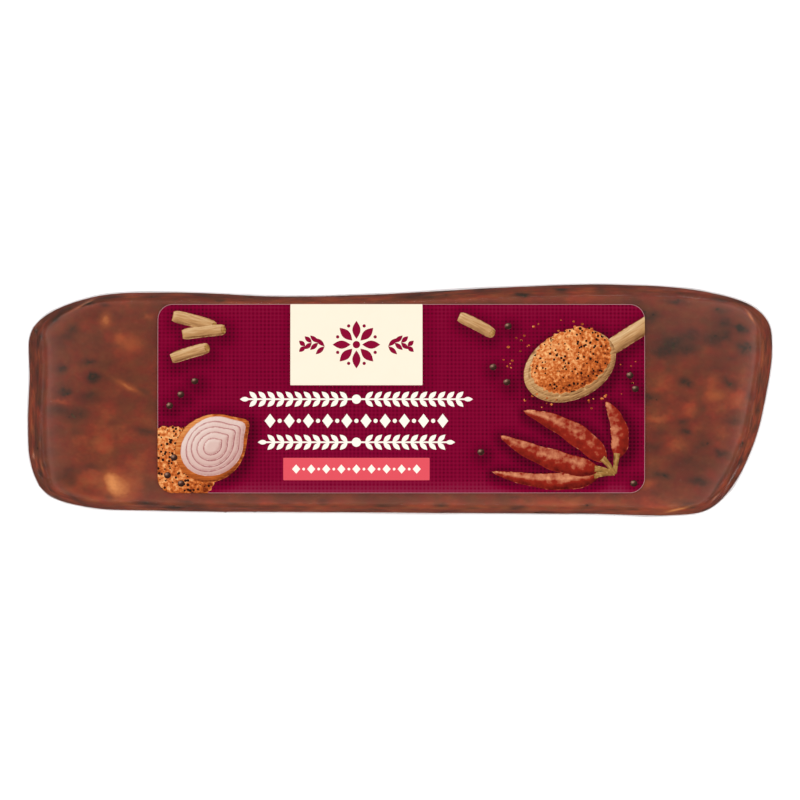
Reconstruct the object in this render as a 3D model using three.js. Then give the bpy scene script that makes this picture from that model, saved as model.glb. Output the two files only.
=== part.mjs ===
// A dry-rubbed pork loin filet, sealed tight in clear film, with a printed label on its upper face.
// Sizes are in millimetres. +X runs along the loin towards its slanted end, +Y across it, and +Z is up.
// The pack lies on its back. The origin is on the surface that it rests on, under the middle of the pack.

import * as THREE from "three";
import { LoftGeometry } from "three/addons/geometries/LoftGeometry.js";

// The whole pack
const LENGTH = 276;
const WIDTH = 86.4;
const THICKNESS = 37; // at the crown of the upper face
const CROWN_X = -16; // the loin is thickest a little left of its middle
const END_DROP = 4.2; // how far the upper face falls from the crown, half a length away
const SIDE_DROP = 1.6; // how far it falls half a width away
const WIDEST_HEIGHT = 16.5; // level at which the sides bulge out furthest
const POINTS_AROUND = 144;

// The outline at the widest level, anticlockwise from the blunt left end, in shares of half the length and width
const OUTLINE = [
  [-1.0, -0.23], [-0.991, -0.56], [-0.952, -0.8], [-0.841, -0.924], [-0.652, -0.955],
  [-0.072, -0.972], [0.507, -0.984], [0.725, -0.995], [0.822, -0.95], [0.888, -0.764],
  [0.951, -0.366], [0.987, 0.115], [0.999, 0.42], [0.99, 0.66], [0.946, 0.81],
  [0.812, 0.942], [0.565, 1.0], [0.29, 0.977], [-0.072, 0.914], [-0.319, 0.898],
  [-0.609, 0.932], [-0.812, 0.9], [-0.943, 0.748], [-0.991, 0.59], [-0.996, 0.185],
];

// The rounded rim between the widest level and the edge of the upper face, seen from above
const LEFT_RIM = 9.2;
const RIGHT_RIM = 8.2;
const FRONT_RIM = 4.3;
const BACK_RIM = 3.6; // where the back of the pack dips in
const DIP_Y = 38.8; // how far back the outline reaches at that dip
const BACK_RIM_GROWTH = 0.5; // extra rim for each millimetre that the back bulges past the dip
const RIM_TURN = THREE.MathUtils.degToRad(68); // how far the rim turns over before it meets the upper face
const RIM_RINGS = 9;

// A shallow fold that the tight film draws along the rim at both ends
const FOLD_DEPTH = 0.7;
const FOLD_AT = 0.56; // in shares of the rim's turn
const FOLD_HALF_WIDTH = 0.13;

// The underside: a flat face with a rounded edge
const LOWER_RIM = 10;
const LOWER_RINGS = 6;

// The rings that carry the crowned upper face in to a point at its middle, in shares of its outline
const FACE_RINGS = [0.84, 0.66, 0.48, 0.3, 0.12, 0];

// The label, a thin rounded rectangle that lies on the crowned face
const LABEL_LENGTH = 178;
const LABEL_WIDTH = 69;
const LABEL_CORNER = 5.5;
const LABEL_THICKNESS = 0.3;
const LABEL_GAP = 0.2;
const LABEL_X = 0.5;
const LABEL_Y = 0.5;
const LABEL_CORNER_STEPS = 8;
const LABEL_SIDE_STEPS = 10;
const LABEL_RINGS = [0, 0.12, 0.34, 0.56, 0.78, 1]; // from a point at its middle to its edge

// Height of the upper face over a place in the footprint
function upperHeight(x, y) {
  const along = (x - CROWN_X) / (LENGTH / 2);
  const across = y / (WIDTH / 2);
  return THICKNESS - END_DROP * along ** 2 - SIDE_DROP * across ** 2;
}

// Evenly spaced points of the outline, fitted exactly to the pack's length and width
function outlinePoints() {
  const knots = OUTLINE.map(([x, y]) => new THREE.Vector3((x * LENGTH) / 2, (y * WIDTH) / 2, 0));
  const curve = new THREE.CatmullRomCurve3(knots, true, "centripetal");
  const points = curve.getSpacedPoints(POINTS_AROUND).slice(0, POINTS_AROUND);
  const box = new THREE.Box3().setFromPoints(points);
  const centre = box.getCenter(new THREE.Vector3());
  const size = box.getSize(new THREE.Vector3());
  const fit = new THREE.Vector3(LENGTH / size.x, WIDTH / size.y, 1);
  return points.map((point) => point.sub(centre).multiply(fit));
}

// The level direction that points out of a ring at each of its points
function outwardNormals(points) {
  return points.map((_, i) => {
    const next = points[(i + 1) % points.length];
    const previous = points[(i + points.length - 1) % points.length];
    return new THREE.Vector3(next.y - previous.y, previous.x - next.x, 0).normalize();
  });
}

// How far the edge of the upper face lies inside the outline
function rimWidth(point, normal) {
  const back = BACK_RIM + BACK_RIM_GROWTH * Math.max(0, point.y - DIP_Y);
  const side = normal.y > 0 ? back : FRONT_RIM;
  const end = normal.x > 0 ? RIGHT_RIM : LEFT_RIM;
  return side * normal.y ** 2 + end * normal.x ** 2;
}

// Rings from the flat underside up to the widest level
function lowerRings(outline, normals) {
  const rings = [];
  for (let k = 0; k < LOWER_RINGS; k++) {
    const turn = (Math.PI / 2) * (1 - k / LOWER_RINGS);
    const inset = LOWER_RIM * (1 - Math.cos(turn));
    const height = WIDEST_HEIGHT * (1 - Math.sin(turn));
    rings.push(outline.map((p, i) => p.clone().addScaledVector(normals[i], -inset).setZ(height)));
  }
  return rings;
}

// Rings from the widest level over the rim to the edge of the upper face, with the film's fold
function upperRings(outline, normals) {
  const edge = outline.map((p, i) => p.clone().addScaledVector(normals[i], -rimWidth(p, normals[i])));
  const rings = [];
  for (let k = 0; k <= RIM_RINGS; k++) {
    const share = k / RIM_RINGS;
    const turn = RIM_TURN * share;
    const inward = (1 - Math.cos(turn)) / (1 - Math.cos(RIM_TURN));
    const upward = Math.sin(turn) / Math.sin(RIM_TURN);
    const fold = FOLD_DEPTH * Math.exp(-(((share - FOLD_AT) / FOLD_HALF_WIDTH) ** 2));
    rings.push(
      outline.map((p, i) => {
        const rise = upperHeight(edge[i].x, edge[i].y) - WIDEST_HEIGHT;
        return p
          .clone()
          .lerp(edge[i], inward)
          .addScaledVector(normals[i], -fold * normals[i].x ** 2)
          .setZ(WIDEST_HEIGHT + rise * upward);
      }),
    );
  }
  return rings;
}

// Rings that shrink from the edge of the upper face towards its middle
function faceRings(edge) {
  return FACE_RINGS.map((share) =>
    edge.map(({ x, y }) => new THREE.Vector3(x * share, y * share, upperHeight(x * share, y * share))),
  );
}

function sealedLoin() {
  const outline = outlinePoints();
  const normals = outwardNormals(outline);
  const rim = upperRings(outline, normals);
  const sections = [...lowerRings(outline, normals), ...rim, ...faceRings(rim.at(-1))];
  const geometry = new LoftGeometry(sections, { capStart: true });
  const material = new THREE.MeshStandardMaterial({ color: 0x763f31, roughness: 0.22, metalness: 0 });
  const mesh = new THREE.Mesh(geometry, material);
  mesh.name = "sealed_pork_loin";
  return mesh;
}

// The label's outline about its own middle, anticlockwise
function labelOutline() {
  const points = [];
  const corners = [[1, -1], [1, 1], [-1, 1], [-1, -1]];
  corners.forEach(([sx, sy], i) => {
    const centre = new THREE.Vector2(
      sx * (LABEL_LENGTH / 2 - LABEL_CORNER),
      sy * (LABEL_WIDTH / 2 - LABEL_CORNER),
    );
    for (let k = 0; k <= LABEL_CORNER_STEPS; k++) {
      const angle = (Math.PI / 2) * (i - 1 + k / LABEL_CORNER_STEPS);
      points.push(new THREE.Vector2(LABEL_CORNER, 0).rotateAround(new THREE.Vector2(), angle).add(centre));
    }
  });
  return withSideSteps(points);
}

// The same outline with extra points along its four straight sides, so that they can follow the crown
function withSideSteps(points) {
  return points.flatMap((point, i) => {
    const next = points[(i + 1) % points.length];
    const steps = point.distanceTo(next) > LABEL_CORNER ? LABEL_SIDE_STEPS : 1;
    return Array.from({ length: steps }, (_, k) => point.clone().lerp(next, k / steps));
  });
}

function label() {
  const outline = labelOutline();
  const ring = (share, lift) =>
    outline.map((p) => {
      const x = LABEL_X + p.x * share;
      const y = LABEL_Y + p.y * share;
      return new THREE.Vector3(x, y, upperHeight(x, y) + lift);
    });
  const underside = LABEL_RINGS.map((share) => ring(share, LABEL_GAP));
  const printedSide = LABEL_RINGS.map((share) => ring(share, LABEL_GAP + LABEL_THICKNESS)).reverse();
  const geometry = new LoftGeometry([...underside, ...printedSide]);
  const material = new THREE.MeshStandardMaterial({ color: 0x7e0a31, roughness: 0.4, metalness: 0 });
  const mesh = new THREE.Mesh(geometry, material);
  mesh.name = "label";
  return mesh;
}

const pack = new THREE.Group();
pack.add(sealedLoin(), label());

export default pack;
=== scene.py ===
"""A dry-rubbed pork loin filet, sealed tight in clear film under a printed label.

The pack lies on its back with +X along the loin, +Y across it and +Z up, in metres. The outline and the
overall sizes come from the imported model, and the other sizes repeat the section that it is made from.
Sizes of print and rub are written in millimetres and multiplied by MM.
"""

import logging
import math
from dataclasses import dataclass, field
from enum import Enum
from typing import Any, Callable, Sequence

import bpy
import numpy as np
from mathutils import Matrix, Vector, kdtree, noise
from mathutils.geometry import delaunay_2d_cdt


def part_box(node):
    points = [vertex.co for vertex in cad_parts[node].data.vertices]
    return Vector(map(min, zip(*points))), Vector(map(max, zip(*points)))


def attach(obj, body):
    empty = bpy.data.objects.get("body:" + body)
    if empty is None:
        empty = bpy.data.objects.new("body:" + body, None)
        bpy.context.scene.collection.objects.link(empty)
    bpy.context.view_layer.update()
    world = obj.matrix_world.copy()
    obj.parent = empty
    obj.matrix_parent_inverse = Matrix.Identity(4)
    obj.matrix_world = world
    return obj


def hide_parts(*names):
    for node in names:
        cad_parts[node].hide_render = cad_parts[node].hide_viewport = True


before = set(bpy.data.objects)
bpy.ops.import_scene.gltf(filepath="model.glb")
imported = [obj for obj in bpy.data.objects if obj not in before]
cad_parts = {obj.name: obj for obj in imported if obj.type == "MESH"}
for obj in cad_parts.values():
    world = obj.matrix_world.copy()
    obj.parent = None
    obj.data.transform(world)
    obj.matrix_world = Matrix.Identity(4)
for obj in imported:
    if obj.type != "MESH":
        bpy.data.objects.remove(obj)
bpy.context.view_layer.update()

MM = 0.001
PLACES_AT_ONCE = 2000
LOIN_NODE = "sealed_pork_loin"
LABEL_NODE = "label"
BODY = "root"
log = logging.getLogger("pork_loin_pack")

Colour = tuple[float, float, float, float]


def tint(red: int, green: int, blue: int) -> Colour:
    """A colour as a shader takes it, from the values that a picture holds.

    Args:
        red, green, blue: 0 to 255, as on a screen.

    Returns:
        The linear red, green and blue, with an alpha of 1.
    """
    shares = (value / 255 for value in (red, green, blue))
    linear = [s / 12.92 if s <= 0.04045 else ((s + 0.055) / 1.055) ** 2.4 for s in shares]
    return linear[0], linear[1], linear[2], 1.0


class NodeSheet:
    """Adds nodes to a tree, each in one call."""

    def __init__(self, tree: bpy.types.NodeTree) -> None:
        """Starts from an empty tree."""
        self.tree = tree
        tree.nodes.clear()

    def add(self, kind: str, inputs: dict[int | str, Any] | None = None, **settings: Any) -> bpy.types.Node:
        """Adds a node, sets it up and joins it.

        Args:
            kind: The node's type, such as ShaderNodeTexNoise.
            inputs: For each input's name or number, the socket that feeds it, or its value.
            settings: The node's own properties.

        Returns:
            The new node.
        """
        node = self.tree.nodes.new(kind)
        for name, value in settings.items():
            setattr(node, name, value)
        for name, value in (inputs or {}).items():
            if isinstance(value, bpy.types.NodeSocket):
                self.tree.links.new(value, node.inputs[name])
            else:
                node.inputs[name].default_value = value
        return node

    def math(self, operation: str, first: Any, second: Any = 0.0,
             clamp: bool = False) -> bpy.types.NodeSocket:
        """The result of a Math node on two sockets or numbers."""
        inputs = {0: first, 1: second}
        return self.add("ShaderNodeMath", inputs, operation=operation, use_clamp=clamp).outputs[0]

    def ramp(self, amount: Any, stops: Sequence[tuple[float, Colour]]) -> bpy.types.NodeSocket:
        """The colour that a ramp gives for an amount.

        Args:
            amount: The socket or number that it reads.
            stops: Each colour's place on the ramp, from 0 to 1, and the colour.

        Returns:
            The colour's socket.
        """
        node = self.add("ShaderNodeValToRGB", {"Fac": amount})
        elements = node.color_ramp.elements
        while len(elements) < len(stops):
            elements.new(1.0)
        for element, (position, colour) in zip(elements, stops):
            element.position, element.color = position, colour
        return node.outputs["Color"]

    def blend(self, amount: Any, first: Any, second: Any) -> bpy.types.NodeSocket:
        """A mix of two colours.

        Args:
            amount: 0 for the first colour, 1 for the second.
            first, second: The colours, or the sockets that give them.

        Returns:
            The mixed colour's socket.
        """
        node = self.add("ShaderNodeMix", data_type="RGBA")
        for number, value in ((0, amount), (6, first), (7, second)):
            if isinstance(value, bpy.types.NodeSocket):
                self.tree.links.new(value, node.inputs[number])
            else:
                node.inputs[number].default_value = value
        return node.outputs[2]

    def speckle(self, place: bpy.types.NodeSocket, size: float, detail: float = 3.0,
                stretch: Sequence[float] = (1, 1, 1)) -> bpy.types.NodeSocket:
        """A noise whose lumps are about one size across.

        Args:
            place: The coordinates that it reads.
            size: The lumps' width in metres.
            detail: How many finer layers it has.
            stretch: How many times longer the lumps are along each axis.

        Returns:
            Values that lie mostly between 0.3 and 0.7.
        """
        shares = [1 / (size * times) for times in stretch]
        mapped = self.add("ShaderNodeMapping", {"Vector": place, "Scale": shares})
        inputs = {"Vector": mapped.outputs[0], "Scale": 1.0, "Detail": detail, "Roughness": 0.55}
        return self.add("ShaderNodeTexNoise", inputs).outputs["Fac"]

    def attribute(self, name: str) -> bpy.types.NodeSocket:
        """A number that the mesh carries."""
        return self.add("ShaderNodeAttribute", attribute_name=name).outputs["Fac"]

    def object_place(self) -> bpy.types.NodeSocket:
        """The object's own coordinates, in metres."""
        return self.add("ShaderNodeTexCoord").outputs["Object"]


def new_material(name: str) -> tuple[bpy.types.Material, NodeSheet, bpy.types.Node]:
    """A material with an empty sheet and its output node.

    Args:
        name: The material's name.

    Returns:
        The material, the sheet that adds nodes to it, and its output node.
    """
    material = bpy.data.materials.new(name)
    material.use_nodes = True
    sheet = NodeSheet(material.node_tree)
    return material, sheet, sheet.add("ShaderNodeOutputMaterial")


def new_piece(name: str, points: np.ndarray, faces: Sequence[Sequence[int]]) -> bpy.types.Object:
    """A smooth-shaded mesh object at the origin.

    Args:
        name: The piece's name.
        points: Its vertices in metres.
        faces: Its faces, which point outwards, as vertex numbers.

    Returns:
        The object, linked to the scene.
    """
    mesh = bpy.data.meshes.new(name)
    mesh.from_pydata(points.tolist(), [], [tuple(f) for f in faces])
    mesh.polygons.foreach_set("use_smooth", [True] * len(mesh.polygons))
    mesh.update()
    piece = bpy.data.objects.new(name, mesh)
    bpy.context.scene.collection.objects.link(piece)
    return piece


def vertex_arrays(mesh: bpy.types.Mesh) -> tuple[np.ndarray, np.ndarray]:
    """The places and the normals of a mesh's vertices.

    Args:
        mesh: The mesh.

    Returns:
        Two arrays with a row for each vertex.
    """
    places = np.empty(len(mesh.vertices) * 3)
    normals = np.empty(len(mesh.vertices) * 3)
    mesh.vertices.foreach_get("co", places)
    mesh.vertex_normals.foreach_get("vector", normals)
    return places.reshape(-1, 3), normals.reshape(-1, 3)


def push_out(mesh: bpy.types.Mesh, distance: np.ndarray | float) -> None:
    """Moves each vertex along its normal.

    Args:
        mesh: The mesh to change.
        distance: How far each vertex moves, or one distance for all.
    """
    places, normals = vertex_arrays(mesh)
    moved = places + normals * np.broadcast_to(np.asarray(distance)[..., None], (len(places), 1))
    mesh.vertices.foreach_set("co", moved.ravel())
    mesh.update()


def store(mesh: bpy.types.Mesh, name: str, values: np.ndarray, domain: str = "POINT") -> None:
    """Keeps one number for each vertex or face corner in the mesh."""
    attribute = mesh.attributes.new(name, "FLOAT", domain)
    attribute.data.foreach_set("value", np.asarray(values, np.float32))


def store_places(mesh: bpy.types.Mesh, name: str, places: np.ndarray, domain: str = "POINT") -> None:
    """Keeps a place for each vertex or face corner in the mesh."""
    attribute = mesh.attributes.new(name, "FLOAT_VECTOR", domain)
    attribute.data.foreach_set("vector", np.asarray(places, np.float32).ravel())


def lumps(places: np.ndarray, size: float, octaves: int = 2) -> np.ndarray:
    """Smooth random values, from about -1 to 1, whose lumps are about one size across."""
    return np.array([noise.fractal(Vector(p), 0.9, 2.1, octaves) for p in places / size])


def soft_min(first: np.ndarray, second: np.ndarray, blend: float) -> np.ndarray:
    """The lower of two heights, rounded where they are within a blend of each other."""
    share = np.maximum(blend - np.abs(first - second), 0) / blend
    return np.minimum(first, second) - share**2 * blend / 4


def resampled(loop: np.ndarray, count: int) -> np.ndarray:
    """A closed loop of evenly spaced points, carried by a Catmull-Rom curve to another count.

    Args:
        loop: The points.
        count: How many are wanted.

    Returns:
        The new points.
    """
    place = np.arange(count) * len(loop) / count
    first = place.astype(int)
    u = (place - first)[:, None]
    a, b, c, d = (loop[(first + step) % len(loop)] for step in (-1, 0, 1, 2))
    return 0.5 * (2 * b + (c - a) * u + (2 * a - 5 * b + 4 * c - d) * u**2 + (3 * b - a - 3 * c + d) * u**3)


def outward(loop: np.ndarray) -> np.ndarray:
    """The level direction that points out of an anticlockwise loop at each of its points.

    Args:
        loop: The loop's points, seen from above.

    Returns:
        A direction of length 1 for each point.
    """
    along = np.roll(loop, -1, axis=0) - np.roll(loop, 1, axis=0)
    normals = np.column_stack([along[:, 1], -along[:, 0]])
    return normals / np.linalg.norm(normals, axis=1, keepdims=True)


def distance_to(loop: np.ndarray, places: np.ndarray) -> np.ndarray:
    """How far each place is from the nearest point of a closely spaced loop, seen from above.

    Args:
        loop: The loop's points.
        places: The places to measure from.

    Returns:
        A distance for each place.
    """
    tree = kdtree.KDTree(len(loop))
    for number, point in enumerate(loop):
        tree.insert((point[0], point[1], 0), number)
    tree.balance()
    return np.array([tree.find((p[0], p[1], 0))[2] for p in places])


def filled(loop: np.ndarray, pitch: float, thinned: Callable[[np.ndarray], np.ndarray] | None = None,
           thinning: int = 3) -> tuple[np.ndarray, np.ndarray]:
    """Fills a loop with a lattice of points, joined as triangles.

    Args:
        loop: The anticlockwise outline, which can be seen whole from its middle, in metres.
        pitch: The lattice's spacing.
        thinned: Tells which places lie where a coarser lattice is enough.
        thinning: How many times coarser it is there.

    Returns:
        The points, the loop's own first, and the triangles.
    """
    low, high = loop.min(0), loop.max(0)
    counts = np.maximum(((high - low) / pitch).astype(int), 1)
    columns, rows = np.meshgrid(np.arange(1, counts[0]), np.arange(1, counts[1]), indexing="ij")
    lattice = low + np.column_stack([columns.ravel(), rows.ravel()]) * (high - low) / counts
    middle = (low + high) / 2
    spokes = loop - middle
    turns = np.arctan2(spokes[:, 1], spokes[:, 0])
    order = np.argsort(turns)
    offset = lattice - middle
    reach = np.interp(np.arctan2(offset[:, 1], offset[:, 0]), turns[order],
                      np.linalg.norm(spokes, axis=1)[order], period=math.tau)
    kept = np.linalg.norm(offset, axis=1) < reach
    if thinned is not None:
        coarse = (columns.ravel() % thinning == 0) & (rows.ravel() % thinning == 0)
        kept &= coarse | ~thinned(lattice)
    lattice = lattice[kept]
    lattice = lattice[distance_to(loop, lattice) > pitch * 0.6]
    points = np.vstack([loop, lattice])
    corners = [Vector(p) for p in points / MM]
    placed, _, triangles, sources, _, _ = delaunay_2d_cdt(corners, [], [list(range(len(loop)))], 1, 1e-6)
    numbers = [source[0] for source in sources]
    assert len(placed) == len(points), "the filled loop crosses itself"
    return points, np.array([[numbers[v] for v in t] for t in triangles])


@dataclass
class Skin:
    """A closed skin on the pack's form: its mesh, and where each ring vertex lies on the section."""

    points: np.ndarray
    faces: list[Sequence[int]]
    along: np.ndarray
    across: np.ndarray
    perimeter: float

    @property
    def ring_count(self) -> int:
        """How many of the vertices belong to the rings. The face and the underside come after them."""
        return len(self.along)

    def unrolled(self) -> np.ndarray:
        """Each ring vertex on an upright tube as long round as the pack, where a pattern has no seam.

        Returns:
            A place for each ring vertex, in metres.
        """
        radius = self.perimeter / math.tau
        angle = self.along / radius
        return np.column_stack([radius * np.cos(angle), radius * np.sin(angle), self.across])


@dataclass
class PackForm:
    """The sealed pack's outer form: a rounded rim round a crowned upper face, and a flat underside."""

    widest_height: float = 16.5 * MM
    crown_x: float = -16 * MM
    end_drop: float = 4.2 * MM
    side_drop: float = 1.6 * MM
    left_rim: float = 9.2 * MM
    right_rim: float = 8.2 * MM
    front_rim: float = 4.3 * MM
    back_rim: float = 3.6 * MM
    dip_y: float = 38.8 * MM
    back_rim_growth: float = 0.5
    rim_turn: float = math.radians(68)
    crease_blend: float = 1.4 * MM
    fold_depth: float = 0.7 * MM
    fold_at: float = 0.56
    fold_half_width: float = 0.13
    lower_rim: float = 10 * MM
    face_start: float = 1.15
    level_tolerance: float = 0.01 * MM
    shortest_side: float = 0.1 * MM
    length: float = field(init=False)
    width: float = field(init=False)
    thickness: float = field(init=False)
    outline: np.ndarray = field(init=False)
    normals: np.ndarray = field(init=False)

    def __post_init__(self) -> None:
        """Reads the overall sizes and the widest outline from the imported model."""
        low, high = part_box(LOIN_NODE)
        self.length, self.width, self.thickness = high - low
        places, _ = vertex_arrays(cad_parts[LOIN_NODE].data)
        level = np.abs(places[:, 2] - self.widest_height) < self.level_tolerance
        loop = places[level, :2]
        loop = loop[np.argsort(np.arctan2(loop[:, 1], loop[:, 0]))]
        apart = np.linalg.norm(loop - np.roll(loop, 1, axis=0), axis=1) > self.shortest_side
        self.outline = loop[apart]
        self.normals = outward(self.outline)

    def upper_height(self, flat: np.ndarray) -> np.ndarray:
        """The height of the crowned upper face over places in the footprint.

        Args:
            flat: The places, seen from above.

        Returns:
            A height for each place, in metres.
        """
        along = (flat[:, 0] - self.crown_x) / (self.length / 2)
        across = flat[:, 1] / (self.width / 2)
        return self.thickness - self.end_drop * along**2 - self.side_drop * across**2

    def crease(self) -> np.ndarray:
        """The edge of the upper face, where the rim meets it, seen from above.

        Returns:
            A point for each point of the outline.
        """
        back = self.back_rim + self.back_rim_growth * np.maximum(0, self.outline[:, 1] - self.dip_y)
        side = np.where(self.normals[:, 1] > 0, back, self.front_rim)
        end = np.where(self.normals[:, 0] > 0, self.right_rim, self.left_rim)
        rim = side * self.normals[:, 1] ** 2 + end * self.normals[:, 0] ** 2
        return self.outline - self.normals * rim[:, None]

    def rim_ring(self, share: float) -> np.ndarray:
        """A ring over the rim.

        Args:
            share: How far the rim has turned: 0 at the widest level, 1 at the crease, more on the face.

        Returns:
            The ring's points, one for each point of the outline.
        """
        edge = self.crease()
        inward = (1 - math.cos(self.rim_turn * share)) / (1 - math.cos(self.rim_turn))
        upward = math.sin(self.rim_turn * share) / math.sin(self.rim_turn)
        fold = self.fold_depth * math.exp(-(((share - self.fold_at) / self.fold_half_width) ** 2))
        sunk = self.normals * (fold * self.normals[:, 0] ** 2)[:, None]
        flat = self.outline + (edge - self.outline) * inward - sunk
        arc = self.widest_height + (self.upper_height(edge) - self.widest_height) * upward
        return np.column_stack([flat, soft_min(arc, self.upper_height(flat), self.crease_blend)])

    def side_ring(self, turn: float) -> np.ndarray:
        """A ring below the widest level, turned by an angle towards the underside."""
        flat = self.outline - self.normals * self.lower_rim * (1 - math.cos(turn))
        return np.column_stack([flat, np.full(len(flat), self.widest_height * (1 - math.sin(turn)))])

    def skin(self, around: int, side_rings: int, rim_rings: int, face_pitch: float, under_pitch: float,
             thinned: Callable[[np.ndarray], np.ndarray] | None = None) -> Skin:
        """A closed skin over the whole form.

        Args:
            around: The number of points in each ring.
            side_rings: Rings from the underside to the widest level.
            rim_rings: Rings from there over the crease.
            face_pitch: The spacing of the points on the upper face.
            under_pitch: The spacing on the underside.
            thinned: Tells where the upper face needs fewer points.

        Returns:
            The skin, whose faces point outwards.
        """
        drawn = [self.side_ring(math.pi / 2 * (1 - k / side_rings)) for k in range(side_rings)]
        drawn += [self.rim_ring(self.face_start * k / rim_rings) for k in range(rim_rings + 1)]
        rings = [resampled(ring, around) for ring in drawn]
        faces: list[Sequence[int]] = []
        for k in range(len(rings) - 1):
            lower = np.arange(around) + k * around
            upper = lower + around
            faces += np.column_stack([lower, np.roll(lower, -1), np.roll(upper, -1), upper]).tolist()
        face_flat, face_triangles = filled(rings[-1][:, :2], face_pitch, thinned)
        under_flat, under_triangles = filled(rings[0][:, :2], under_pitch)
        ringed = np.vstack(rings)
        face_inner = face_flat[around:]
        under_inner = under_flat[around:]
        face_numbers = np.concatenate([np.arange(around) + len(ringed) - around,
                                       np.arange(len(face_inner)) + len(ringed)])
        under_numbers = np.concatenate([np.arange(around),
                                        np.arange(len(under_inner)) + len(ringed) + len(face_inner)])
        faces += face_numbers[face_triangles].tolist()
        faces += under_numbers[under_triangles[:, ::-1]].tolist()
        points = np.vstack([ringed, np.column_stack([face_inner, self.upper_height(face_inner)]),
                            np.column_stack([under_inner, np.zeros(len(under_inner))])])
        steps = [np.linalg.norm(b - a, axis=1).mean() for a, b in zip(rings, rings[1:])]
        climbed = np.concatenate([[0], np.cumsum(steps)])
        widest = rings[side_rings]
        perimeter = np.linalg.norm(np.roll(widest, -1, axis=0) - widest, axis=1).sum()
        along = np.tile(np.arange(around) * perimeter / around, len(rings))
        return Skin(points, faces, along, np.repeat(climbed - climbed[side_rings], around), perimeter)


@dataclass(frozen=True)
class Spot:
    """A soft-edged spot, seen from above: its place, half length, half width, turn and strength."""

    x: float
    y: float
    length: float
    width: float
    turn: float = 0.0
    strength: float = 1.0

    def cover(self, flat: np.ndarray, firmness: float = 1.0) -> np.ndarray:
        """How much of the spot lies at each place.

        Args:
            flat: The places in metres.
            firmness: 1 for a spot that fades from its middle, more for a flat one with firmer edges.

        Returns:
            Shares from 0 to the spot's strength.
        """
        turn = math.radians(self.turn)
        offset = flat / MM - (self.x, self.y)
        along = (offset[:, 0] * math.cos(turn) + offset[:, 1] * math.sin(turn)) / self.length
        across = (offset[:, 1] * math.cos(turn) - offset[:, 0] * math.sin(turn)) / self.width
        return self.strength * np.exp(-((along**2 + across**2) ** firmness))


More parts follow.
